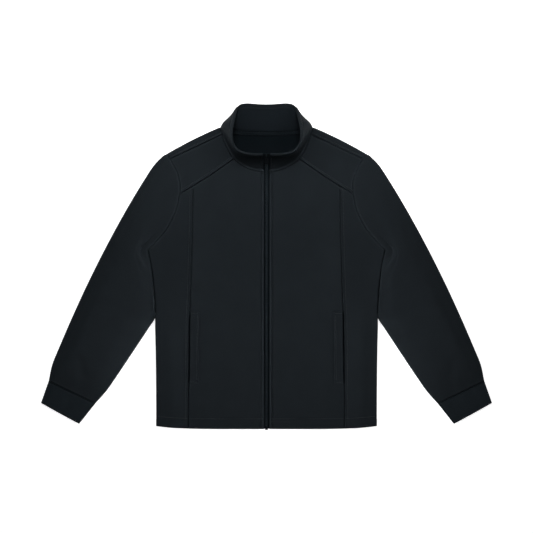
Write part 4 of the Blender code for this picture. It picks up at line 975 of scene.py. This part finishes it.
def sleeve_seams(plan):
    """What the armhole's and the cuff's seams add to the sleeve's height."""
    distance, at = beside(armhole.points, plan)
    climb = (1 - np.exp(-distance / 3.6)) * np.exp(-distance / 50.0)
    total = ditch(distance, 1.3) + mix(1.6, 3.0, smooth(at, 60.0, 200.0)) * climb
    total *= 1 - smooth(at, ARM_END - 60.0, ARM_END - 2.0)
    cuff = gap_to(np.array((CUFF_OUTER, CUFF_INNER)), plan)
    total += ditch(cuff, 2.6, 1.1) + 0.7 * bell(cuff, 4.0, 3.0)
    return total


def sleeve_grid():
    rows, stations, fine = sleeve_plan()
    plan, (from_outer, from_inner, width) = fine[..., :2], np.moveaxis(fine[..., 2:], -1, 0)
    v = np.broadcast_to(rows[:, None], width.shape)
    share = np.clip(from_outer / width, 0.0, 1.0)
    top, radius = sleeve_top(v, share, from_outer, from_inner, width)
    radius = np.where(share < 0.5, FOLD, radius)
    round_edge = rolled(np.minimum(np.maximum(from_outer, 0.0), np.maximum(from_inner, 0.0)), radius)
    near_arm = smooth(v, 0.0, 0.14)
    seam = armhole.at(np.minimum(stations, ARM_END - UNDERARM_TURN))
    turn = np.clip((stations - ARM_END + UNDERARM_TURN) / UNDERARM_TURN, 0.0, 1.0)
    arm_high = FOLD + (front_height(seam) - FOLD) * np.sqrt(1 - turn**2)
    arm_low = np.where(turn > 0, 2 * FOLD - arm_high, back_height(seam))
    high = mix(arm_high, top - radius + round_edge, near_arm)
    low = mix(arm_low, radius - round_edge, near_arm)
    flat = smooth(np.minimum(from_outer, from_inner), 0.0, FOLD)
    high = high + flat * sleeve_seams(plan)
    over = raise_to(plan, high)
    tucked = 1 - smooth(np.linalg.norm(plan - UNDERARM, axis=-1), 36.0, 60.0)
    under = raise_to(plan, np.maximum(low, (SHELL + 0.05) * tucked))[:, -2:0:-1]
    grid = np.concatenate((over, under), axis=1)
    run = np.broadcast_to(-rows[:, None] * SLEEVE_LONG, width.shape)
    cut_under = np.stack((2 * width - from_outer, run), axis=-1)[:, -2:0:-1]
    return grid, np.concatenate((np.stack((from_outer, run), axis=-1), cut_under), axis=1)


# how far in the seam allowance's rows lie, and their share of the seam's height
ALLOWANCE = ((5.0, 0.35), (2.5, 0.45), (0.4, 0.7))
INTO_BODY = np.array((-0.86, -0.5, 0.0))  # from the underarm


def with_allowance(grid, cut):
    """Adds the seam allowance: the sleeve's first row runs on inside the body, between its layers."""
    step = grid[0] - grid[6]
    step[:, 2] = 0.0
    near = 1 - smooth(np.linalg.norm(grid[0, :, :2] - UNDERARM, axis=-1), 14.0, 40.0)
    step = unit(mix(unit(step), INTO_BODY, near[:, None]))
    rows, cuts = [], []
    for distance, level in ALLOWANCE:
        row = grid[0] + step * distance
        row[:, 2] = FOLD + (grid[0, :, 2] - FOLD) * level
        rows.append(row)
        cuts.append(cut[0] + (0.0, distance))
    return np.concatenate((np.array(rows), grid)), np.concatenate((np.array(cuts), cut))


def make_sleeve(side_name, side, grid, cut):
    grid = drawn_in(grid, first=SEAM_GAP / 2, last=SEAM_GAP / 2)
    grid, cut = with_allowance(grid, cut)
    painted_highlight = painted_seam_highlight(grid[..., :2])
    name = f"sleeve_{side_name}_cloth"
    piece = make_mesh(name, grid, cut, BODY_KNIT, side, closed=True, painted_highlight=painted_highlight)
    dress(cloth_wall(piece), f"sleeve_{side_name}")


def cuff_grid(ring):
    """The cuff: a doubled band, folded round its end and up inside."""
    across = CUFF_INNER - CUFF_OUTER
    share = (ring[:, :2] - CUFF_OUTER) @ across / (across @ across)
    long = np.linalg.norm(CUFF_END_OUTER - CUFF_OUTER)
    rows, cuts = [], []
    for distance in spread(long - CUFF_ROUND, (0.0, 0.5, 1.0, 1.7, 2.6, 3.8), (0.0,), 3.0):
        s = distance / long
        a, b = mix(CUFF_OUTER, CUFF_END_OUTER, s), mix(CUFF_INNER, CUFF_END_INNER, s)
        z = FOLD + (ring[:, 2] - FOLD) * mix(1.0, CUFF_FLAT / FOLD, s) - (FOLD - CUFF_FLAT) * s
        z = z + np.where(ring[:, 2] > FOLD, ditch(distance, 2.2), 0.0)
        rows.append(np.column_stack((mix(a, b, share[:, None]), np.maximum(0.0, z))))
        cuts.append(np.column_stack((share * CUFF_WIDE, np.full(len(share), -distance))))
    edge, out = rows[-1], unit(rows[-1] - rows[-2])
    to_middle = np.array((edge[:, 0].mean(), edge[:, 1].mean(), CUFF_FLAT)) - edge
    to_middle[:, 2] = 0.0
    inward = np.column_stack((np.zeros((len(edge), 2)), np.sign(CUFF_FLAT - edge[:, 2])))
    lean = np.clip(np.abs(edge[:, 2] - CUFF_FLAT) / CUFF_FLAT, 0.0, 1.0)[:, None]
    inward = inward * lean + unit(to_middle) * (1 - lean)
    for angle in (30.0, 60.0, 90.0, 120.0, 150.0, 180.0):
        a = math.radians(angle)
        rows.append(edge + out * CUFF_ROUND * math.sin(a) + inward * CUFF_ROUND * (1 - math.cos(a)))
        cuts.append(cuts[-1] - (0.0, CUFF_ROUND * math.radians(30.0)))
    for distance in (8.0, 24.0):
        rows.append(edge - out * distance + inward * 2 * CUFF_ROUND)
        cuts.append(cuts[-1] - (0.0, 12.0))
    return np.array(rows), np.array(cuts)


def make_cuff(side_name, side, ring):
    grid, cut = cuff_grid(ring)
    grid = drawn_in(grid, first=SEAM_GAP / 2)
    piece = make_mesh(f"cuff_{side_name}_cloth", grid, cut, CUFF_KNIT, side, closed=True)
    dress(cloth_wall(piece, CUFF_SHELL), f"cuff_{side_name}")


# ---------------------------------------------------------------- collar and neck


COLLAR_COLUMNS, COLLAR_LEVELS = 110, 26
COLLAR_OFFSETS = (0.0, 0.3, 0.8, 1.5, 2.5, 4.0, 5.2, 6.0, 6.8, 7.6, 8.8)


def collar_outer():
    """The collar's outer face: from the neck seam at row 0 to the top edge, column by column."""
    total = neck_front.length + neck_back.length
    s = spread(total, COLLAR_OFFSETS, (0.0,), total / COLLAR_COLUMNS)
    on_front = s <= neck_front.length
    back_at = neck_back.at(np.maximum(0.0, s - neck_front.length))
    plan = np.where(on_front[:, None], neck_front.at(s), back_at)
    z = np.where(on_front, front_height(plan), back_height(plan))
    base = raise_to(plan, z)
    top = read(COLLAR, s * COLLAR[-1][0] / total)
    top, bulge = top[:, :3], top[:, 3]
    shoulder = unit(SHOULDER_TIP - NECK_POINT)
    fold_out = np.array((-shoulder[1], shoulder[0], 0.0))
    turned = math.pi / 2 * np.clip((neck_front.length - s) / FOLD, -1.0, 1.0)
    panel_out = np.outer(np.sin(turned), (0.0, 0.0, 1.0)) + np.outer(np.cos(turned), fold_out)
    seam = unit(np.gradient(base, axis=0))
    inwards = unit(np.cross(panel_out, seam))
    outward = unit(np.cross(seam, top - base))
    full = COLLAR_FULL * bell(s, COLLAR_FULL_AT, COLLAR_FULL_WIDE)[:, None] * COLLAR_FULL_TO
    ease = 2.4 * bell(s - neck_front.length, 8.0, 16.0)
    start = base + inwards * (SEAM_GAP / 2 + ease)[:, None]
    foot = base + inwards * mix(COLLAR_FOOT, COLLAR_FOOT_BACK, smooth(s, 112.0, 148.0))[:, None]
    rows = [start, mix(start, foot, 0.14), mix(start, foot, 0.5), mix(start, foot, 0.8)]
    for t in np.linspace(0.0, 1.0, COLLAR_LEVELS):
        straight = mix(foot, top, t)
        rows.append(straight + (outward * bulge[:, None] + full) * math.sin(math.pi * t))
    rows = np.array(rows)
    half = mix(ZIP_HALF, COLLAR_ZIP_HALF, np.linspace(0.0, 1.0, len(rows)))
    shift = half - rows[:, 0, 0]
    rows[..., 0] += shift[:, None] * np.clip(1 - s / 30.0, 0.0, 1.0)
    rows[:, -1, 0] = 0.0
    return rows, s


ROLL_WIDE = 6.6  # the rolled edge, down to its stitches
ZIP_ROW = 6.4  # the row of stitches beside the zip, from the collar's end


def rolled_edge(below):
    """How far the collar swells over its rolled top edge, and dips at the stitches under it."""
    swell = 1.7 * np.sin(math.pi * np.clip(below / ROLL_WIDE, 0.0, 1.0)) ** 0.8
    return swell + groove(below, ROLL_WIDE + 0.5, 1.2, 0.9) + 1.0 * bell(below, 9.6, 1.4)


def inner_swell(s, share):
    """How far the inner layer stands off the outer: slack at the sides, puffed at the back."""
    sides = 9.0 * smooth(s, 96.0, 140.0) * (1 - smooth(s, 168.0, 184.0)) * np.sin(math.pi * share**0.75)
    back = smooth(s, 176.0, 196.0)
    return sides + 4.6 * back * np.sin(math.pi * share) ** 0.9


def collar_grid():
    """The doubled collar: up its outer face, over the rolled edge and down the inner face."""
    outer, s = collar_outer()
    down = np.gradient(outer, axis=0)
    over = np.gradient(outer, axis=1)
    normal = unit(np.cross(over, down))
    normal[0] = normal[1] = normal[2] = normal[4]
    height = np.array([reach_of(outer[:, k]) for k in range(outer.shape[1])]).T
    below = height[-1] - height
    share = height / height[-1]
    end = np.clip(s / (COLLAR_CLOTH / 2), 0.0, 1.0)
    closing = np.sqrt(1 - (1 - end) ** 2)
    half = COLLAR_CLOTH / 2
    middle = outer - normal * half
    puff = rolled_edge(below) * smooth(height, 4.0, 12.0)
    thick = (half + puff) * closing
    thick += (1.3 * bell(height, 2.6, 1.3) * (1 - smooth(s, 105.0, 135.0))) * closing
    thick -= 1.1 * bell(s, ZIP_ROW, 1.0) * smooth(height, 3.0, 8.0) * smooth(below, 1.0, 5.0)
    thick[:2] *= np.array((0.3, 0.95))[:, None]
    crease = bell(s, 184.0, 3.2) * smooth(share, 0.0, 0.2) * (1 - smooth(share, 0.8, 0.97))
    inner_thick = thick + inner_swell(s, share) * closing - 9.0 * crease
    inner_thick += groove(below, 4.6, 1.7, 1.3) * smooth(s, 176.0, 196.0)
    front = middle + normal * thick[..., None]
    inner = middle - normal * inner_thick[..., None]
    up = unit(outer[-1] - outer[-3])
    rows = list(front)
    for angle in (30.0, 60.0, 90.0, 120.0, 150.0):
        a = math.radians(angle)
        round_top = normal[-1] * math.cos(a) + up * math.sin(a)
        rows.append(middle[-1] + round_top * thick[-1][:, None])
    rows += list(inner[::-1])
    grid = np.array(rows)
    grid[..., 2] = np.maximum(grid[..., 2], 0.0)
    lengths = np.array([reach_of(grid[:, k]) for k in range(grid.shape[1])]).T
    cut = np.stack((np.broadcast_to(s, lengths.shape), lengths), axis=-1)
    return grid, cut


def make_collar():
    grid, cut = collar_grid()
    outside = len(grid) // 2 - 2
    below = cut[outside, :, 1] - cut[..., 1]
    # painted highlights: two lines just under the rolled top edge, and one along the foot of the outer face
    # by the neck seam
    painted_highlight = bell(below, 2.2, 1.2) + bell(below, 5.6, 0.9)
    painted_highlight += 1.2 * (bell(cut[..., 1], 3.0, 1.3) * (np.arange(len(grid)) < outside)[:, None])
    outer = slice(0, outside + 1)
    roll_row = line_at(grid[outer], below[outer], ROLL_WIDE + 0.5)
    zip_row = line_at(np.swapaxes(grid[outer], 0, 1), (cut[outer, :, 0] - cut[outer, :1, 0]).T, ZIP_ROW)
    roll_row = np.concatenate((roll_row[:-1], roll_row[::-1] * (-1, 1, 1)))
    stitch_mesh("collar_topstitching", [roll_row[8:-8], *mirrored_rows([zip_row[3:-8]])])
    whole = np.concatenate((grid, grid[:, -2::-1] * (-1, 1, 1)), axis=1)
    flat = np.concatenate((cut, cut[:, -2::-1] * (-1, 1) + (2 * cut[0, -1, 0], 0.0)), axis=1)
    painted_highlight = np.concatenate((painted_highlight, painted_highlight[:, -2::-1]), axis=1)
    piece = make_mesh("collar_cloth", whole, flat, BODY_KNIT, painted_highlight=painted_highlight)
    # the collar's inner face takes the darker copy of the knit: painted shade
    piece.data.materials.append(PAINTED_COLLAR_SHADE)
    rows, columns = whole.shape[:2]
    inner = np.repeat(np.arange(rows - 1) > rows // 2 + 6, columns - 1)
    piece.data.polygons.foreach_set("material_index", inner.astype(np.int32))
    dress(cloth_wall(piece, COLLAR_SHELL), "collar")


# across the neck tape, height
NECK_TAPE = ((0.0, 0.0), (0.2, 1.3), (1.0, 1.8), (4.7, 2.1), (8.0, 1.7), (8.9, 1.0), (9.4, 0.0))


def make_neck_tape():
    """The twill tape over the back neck seam inside."""
    x = np.linspace(-TAPE_REACH, TAPE_REACH, 90)
    at = [neck_back.reach[np.abs(neck_back.points[:, 0] - abs(k)).argmin()] for k in x]
    seam = neck_back.at(np.array(at))[:, 1]
    rows, cuts = [], []
    for across, rise in NECK_TAPE:
        z = np.full(len(x), CLOTH + SEAM_GAP + rise)
        rows.append(np.column_stack((x, seam - 0.6 - TAPE_WIDE + across, z)))
        cuts.append(np.column_stack((x, np.full(len(x), across))))
    piece = make_mesh("neck_tape_cloth", np.array(rows), np.array(cuts), NECK_TWILL)
    stitch_mesh("neck_tape_topstitching", [rows[2][1:-1] + (0, 0.6, -0.2), rows[4][1:-1] - (0, 0.6, 0.2)])
    dress(piece, "neck_tape")


# ---------------------------------------------------------------- pocket and zip


def line_at(grid, measure, value):
    """The line on a grid where a measure, which rises or falls down each column, has a value."""
    line = []
    for column, marks in zip(np.swapaxes(grid, 0, 1), measure.T):
        order = np.argsort(marks)
        line.append(on_line(column[order], marks[order], value))
    return np.array(line)


WELT_ROUND = 1.9  # how far its thick edges round over


def make_welt(side_name, side):
    """The pocket's welt: a doubled band on the front, open along its outer edge."""
    ends, edges = (0.0, 0.4, 1.0, 1.8, 2.8, 4.0), (0.0, 0.4, 1.0, 1.8, 2.8, 3.8)
    h = WELT_LOW + spread(WELT_HIGH - WELT_LOW, ends, ends, 4.0)
    across = spread(WELT_WIDE, edges, edges, 2.0)
    x = (princess_x(h) - POCKET_SLIT)[:, None] - WELT_WIDE + across
    plan = np.stack((x, np.broadcast_to(h[:, None], x.shape)), axis=-1)
    ends = np.minimum(h - WELT_LOW, WELT_HIGH - h)[:, None]
    inner, mouth = across[None], (WELT_WIDE - across)[None]
    edge = np.clip(np.minimum(np.minimum(ends, inner), mouth) / WELT_ROUND, 0.0, 1.0)
    lift = CLOTH + SEAM_GAP - WELT_ROUND + WELT_ROUND * np.sqrt(1 - (1 - edge) ** 2)
    lift = lift + groove(inner, WELT_STITCH, 0.7, 1.0) + groove(ends, WELT_STITCH, 0.6, 1.0)
    lift = lift + 1.3 * (1 - smooth(inner, 2.0, 19.0)) * smooth(ends, 2.0, 20.0)
    grid = raise_to(plan, front_height(plan) + lift)
    # painted highlight along the welt's sewn ends and along its open mouth
    painted_highlight = 0.6 * (bell(ends, 1.6, 1.1) + 0.7 * bell(mouth, 1.6, 1.1))
    name = f"pocket_welt_{side_name}"
    piece = make_mesh(f"{name}_cloth", grid, plan, BODY_KNIT, side, painted_highlight=painted_highlight)
    from_ends = plan[..., 1] - WELT_LOW, WELT_HIGH - plan[..., 1]
    rows = [line_at(grid, from_end, WELT_STITCH)[4:] for from_end in from_ends]
    columns = np.swapaxes(grid, 0, 1)
    rows.append(line_at(columns, across[:, None] + 0.0 * columns[..., 0], WELT_STITCH)[6:-6])
    stitch_mesh(f"{name}_topstitching", [row * (side, 1, 1) for row in rows])
    dress(cloth_wall(piece, WELT_SHELL), name)


ZIP_FOOT, ZIP_BEND = 4.6, 586.0  # where the zip starts, and where it bends up to the collar
ZIP_CELL = 2.0
COLLAR_RISE = 39.0  # how far up in plan the zip's run on the collar reaches
COIL_DEEP = 2.0  # the coil's foot, under the fronts' face
# across the tape from its inner edge, depth under the fronts' face
ZIP_TAPE = ((0.15, 2.1), (1.4, 2.1), (2.8, 2.3), (3.5, 3.0))


def collar_run():
    """The zip's straight run up the collar: its foot, length, direction and outward normal."""
    foot = np.array((0.0, ZIP_NECK, front_height(np.array([[ZIP_HALF, ZIP_NECK]]))[0]))
    run = np.array((0.0, COLLAR[0][2], COLLAR[0][3])) - foot
    long = np.linalg.norm(run)
    up = run / long
    return foot, long, up, np.array((0.0, -up[2], up[1]))


def zip_path():
    """Points and outward normals along the middle of the zip's face, from the hem up the collar."""
    foot, long, up, out = collar_run()
    h = np.arange(ZIP_FOOT, ZIP_BEND, ZIP_CELL)
    flat = np.column_stack((np.full(len(h), ZIP_HALF), h))
    body = np.column_stack((np.zeros(len(h)), h, front_height(flat)))
    t = np.linspace(0.0, 1.0, int(long / ZIP_CELL))[1:]
    bulge = COLLAR[0][4] * np.sin(math.pi * t)
    climb = foot + up * long * t[:, None] + out * bulge[:, None]
    turn = np.linspace(0.0, 1.0, 14)[:, None]
    start, end = body[-1], climb[2]
    corner = foot + np.array((0.0, -1.0, 0.0))
    bend = (1 - turn) ** 2 * start + 2 * turn * (1 - turn) * corner + turn**2 * end
    path = np.concatenate((body[:-1], bend, climb[3:]))
    run = unit(np.gradient(path, axis=0))
    normal = np.column_stack((np.zeros(len(run)), -run[:, 2], run[:, 1]))
    return path, normal


def make_zip_tape(side_name, side):
    path, normal = zip_path()
    up_share = np.clip((path[:, 1] - ZIP_NECK) / COLLAR_RISE, 0.0, 1.0)
    held = smooth(path[:, 1], 575.0, 590.0)
    outer = mix(HALF_TAPE, mix(ZIP_HALF, COLLAR_ZIP_HALF, up_share) - 0.7, held)
    rows = []
    for place, out, edge in zip(path, normal, outer):
        section = (*ZIP_TAPE, (mix(4.2, edge, 0.5), 3.0), (edge, 2.9))
        rows.append([place + (x, 0.0, 0.0) - out * depth for x, depth in section])
    grid = np.array(rows)
    cut = np.stack((grid[..., 0], np.broadcast_to(reach_of(path)[:, None], grid.shape[:2])), axis=-1)
    piece = make_mesh(f"zip_tape_{side_name}_cloth", grid, cut, ZIP_TWILL, side)
    dress(cloth_wall(piece, TAPE_SHELL), f"zip_tape_{side_name}")
    coil = make_coil(side_name, side, path, normal)
    coil.parent = piece


COIL_PITCH, COIL_WIRE, WIRE_SIDES = 1.17, 0.40, 5  # the wire's radius is drawn a little too thick
# across, height above the tape: one turn of the coil, from the tape out to the teeth and back
COIL_TURN = ((2.95, 0.30), (1.6, 1.25), (0.35, 1.20), (-0.35, 0.8), (0.5, 0.3), (1.9, 0.15))


def tube(points, radius, sides):
    """Vertices and faces of a round tube along a line of points, closed at both ends."""
    run = unit(np.gradient(points, axis=0))
    first = unit(np.cross(run, (0.31, 0.52, 0.80)))
    second = np.cross(run, first)
    angles = np.arange(sides) * 2 * math.pi / sides
    ring = first[:, None] * np.cos(angles)[:, None] + second[:, None] * np.sin(angles)[:, None]
    verts = (points[:, None] + radius * ring).reshape(-1, 3)
    faces = grid_faces(len(points), sides, True).tolist()
    last = (len(points) - 1) * sides
    return verts, [*faces, list(range(sides))[::-1], [last + k for k in range(sides)]]


def make_coil(side_name, side, path, normal):
    """A zip's coil: one filament in flat turns, sewn along the tape's inner edge."""
    reach = reach_of(path)
    turns = int((reach[-1] - 3.0) / COIL_PITCH)
    shape = np.array(COIL_TURN)
    step = np.arange(turns * len(shape))
    across, high = shape[step % len(shape)].T
    at = 1.0 + (step / len(shape) + (0.0 if side > 0 else 0.5)) * COIL_PITCH
    points = on_line(path, reach, at) + on_line(normal, reach, at) * (high - COIL_DEEP)[:, None]
    points[:, 0] += across * side
    return add_piece(f"zip_coil_{side_name}", *tube(points, COIL_WIRE, WIRE_SIDES), COIL)


# ---------------------------------------------------------------- stitches

STITCH_PITCH, STITCH_LONG = 3.3, 2.6
STITCH_THICK = 0.32  # the thread's radius, drawn about twice the real one, so that it shows


def stitch_mesh(name, rows):
    """Stitches along lines of points on the cloth: short threads that dip in at their ends."""
    verts, faces = [], []
    thick, half = STITCH_THICK, STITCH_LONG / 2
    for line in rows:
        reach = reach_of(line)
        at = np.arange(STITCH_PITCH / 2, reach[-1] - STITCH_PITCH / 2, STITCH_PITCH)
        place = on_line(line, reach, at)
        run = unit(on_line(line, reach, at + 0.8) - place)  # a little further on
        across = unit(np.cross(run, (0.0, 0.0, 1.0)))
        up = np.cross(across, run)
        for p, d, a, u in zip(place, run, across, up):
            first = len(verts)
            verts.append(p - d * half - u * 0.1)
            for where in (-half * 0.45, half * 0.45):
                for ca, cu in ((1, 0), (0, 1), (-1, 0), (0, -1)):
                    verts.append(p + d * where + a * ca * thick + u * (cu * thick + 0.12))
            verts.append(p + d * half - u * 0.1)
            for k in range(4):
                m = (k + 1) % 4
                faces.append((first, first + 1 + m, first + 1 + k))
                faces.append((first + 1 + k, first + 1 + m, first + 5 + m, first + 5 + k))
                faces.append((first + 5 + k, first + 5 + m, first + 9))
    piece = add_piece(name, np.array(verts), faces, THREAD)
    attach(piece, "jacket")


def mirrored_rows(rows):
    return [*rows, *[row * (-1, 1, 1) for row in rows]]


def shifted(path, by):
    """A plan path moved sideways, to the left of its run."""
    run = unit(np.gradient(path, axis=0))
    return path + np.column_stack((-run[:, 1], run[:, 0])) * by


def resampled(path):
    reach = reach_of(path)
    at = np.linspace(0.0, reach[-1], max(2, int(reach[-1] / 2.0)))
    return on_line(path, reach, at)


def on_panel(path, panel):
    path = resampled(path)
    return raise_to(path, front_top(path, panel))


def stitch_row(x, h):
    return np.column_stack((np.broadcast_to(x, h.shape), h))


def make_body_stitches():
    rows = {"zip": [(stitch_row(ZIP_HALF + ZIP_STITCH, np.linspace(8.0, 597.0, 120)), "front")], "hem": []}
    for high in (HEM_DEEP, HEM_UPPER):
        princess = princess_x(high)[0]
        x = np.linspace(ZIP_HALF + 2, princess - 2, 60)
        rows["hem"].append((stitch_row(x, hem_h(x) + high), "front"))
        x = np.linspace(princess + 2, SIDE[0][1] - 3, 30)
        rows["hem"].append((stitch_row(x, hem_h(x) + high), "side"))
    h = np.linspace(24.0, princess_top[1] - 4, 120)
    rows["princess"] = [(stitch_row(princess_x(h) + PRINCESS_STITCH, h), "side")]
    rows["yoke"] = [(shifted(yoke_line(0.02, 0.98, 40), YOKE_STITCH), "yoke")]
    rows["shoulder"] = [(shifted(resampled(strip_line), STRIP_STITCH)[3:-3], "strip")]
    for seam, paths in rows.items():
        kind = "coverstitching" if seam == "hem" else "topstitching"
        stitch_mesh(f"{seam}_{kind}", mirrored_rows([on_panel(path, panel) for path, panel in paths]))


# ---------------------------------------------------------------- the jacket

sleeve, sleeve_cut = sleeve_grid()
make_back()
make_collar()
make_neck_tape()
for side_name, side in SIDES:
    for kind in PANELS:
        make_panel(kind, side_name, side)
    make_sleeve(side_name, side, sleeve, sleeve_cut)
    make_cuff(side_name, side, sleeve[-1])
    make_welt(side_name, side)
    make_zip_tape(side_name, side)
make_body_stitches()
for node in ("zip_slider", "zip_pull", "zip_box"):
    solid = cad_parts[node]
    solid.data.materials.clear()
    solid.data.materials.append(ZINC)
    edges = solid.modifiers.new("cast_edges", "BEVEL")
    edges.width, edges.segments, edges.limit_method = 0.15 * MM, 2, "ANGLE"

# ---------------------------------------------------------------- floor, light, camera


def make_floor():
    """A matt white board."""
    material, _, shader = new_material("matt_white_board")
    shader.inputs["Base Color"].default_value = linear("#F4F4F4")
    shader.inputs["Roughness"].default_value = 0.9
    shader.inputs["Specular IOR Level"].default_value = 0.1
    shader.inputs["Emission Color"].default_value = linear("#FFFFFF")
    shader.inputs["Emission Strength"].default_value = 0.74
    size = 6.0
    mesh = bpy.data.meshes.new("floor")
    corners = [(-size, -size, 0), (size, -size, 0), (size, size, 0), (-size, size, 0)]
    mesh.from_pydata(corners, [], [(0, 1, 2, 3)])
    mesh.materials.append(material)
    floor = bpy.data.objects.new("floor", mesh)
    floor.location.z = -0.0004  # clear of the cloth's underside
    bpy.context.scene.collection.objects.link(floor)


def make_light(name, place, target, size, power, beam=180.0):
    """A softbox; size is its width and height, and beam is the angle that its grid lets out."""
    lamp = bpy.data.lights.new(name, "AREA")
    lamp.shape = "RECTANGLE"
    lamp.size, lamp.size_y = size
    lamp.energy = power
    lamp.spread = math.radians(beam)
    light = bpy.data.objects.new(name, lamp)
    light.location = place
    light.rotation_euler = (Vector(target) - Vector(place)).to_track_quat("-Z", "Y").to_euler()
    bpy.context.scene.collection.objects.link(light)


make_floor()
make_light("top_softbox", (0.0, 0.9, 2.2), (0.0, 0.0, 0.0), (0.9, 0.4), 12.9)
# name, place, target, size, watts, beam: one on each side
SIDE_LIGHTS = (
    ("side", (1.7, 0.5, 1.4), (0.0, 0.0), (0.5, 0.5), 1.36, 60.0),
    ("shoulder", (0.25, 0.75, 1.0), (0.17, 0.26), (0.3, 0.2), 0.15, 20.0),
    ("near", (0.5, 0.5, 0.6), (-0.40, -0.12), (0.3, 0.3), 0.35, 40.0),
    ("lower_cross", (1.1, -0.9, 0.45), (-0.45, -0.22), (0.4, 0.25), 0.16, 15.0),
    ("upper_cross", (1.2, -0.7, 0.42), (-0.40, -0.06), (0.4, 0.25), 0.24, 12.0),
)
for side in (1, -1):
    for name, (x, y, z), (to_x, to_y), size, power, beam in SIDE_LIGHTS:
        place, target = (x * side, y, z), (to_x * side, to_y, 0.0)
        make_light(f"{name}_softbox_{side}", place, target, size, power, beam)

world = bpy.data.worlds.new("studio")
world.use_nodes = True
background = world.node_tree.nodes["Background"]
background.inputs["Color"].default_value = linear("#FFFFFF")
background.inputs["Strength"].default_value = 0.09
bpy.context.scene.world = world
bpy.context.scene.view_settings.view_transform = "Standard"

LENS, SENSOR = 85.0, 36.0
FRAME_WIDE, JACKET_LEVEL = 1.2472, 0.006  # how wide the view is, and at what height, in metres
camera_data = bpy.data.cameras.new("camera")
camera_data.lens = LENS
camera_data.sensor_width = SENSOR
camera_data.clip_end = 50.0
camera = bpy.data.objects.new("camera", camera_data)
camera.location = (0.0, 0.0014, FRAME_WIDE / SENSOR * LENS + JACKET_LEVEL)
bpy.context.scene.collection.objects.link(camera)
bpy.context.scene.camera = camera

bpy.context.view_layer.update()
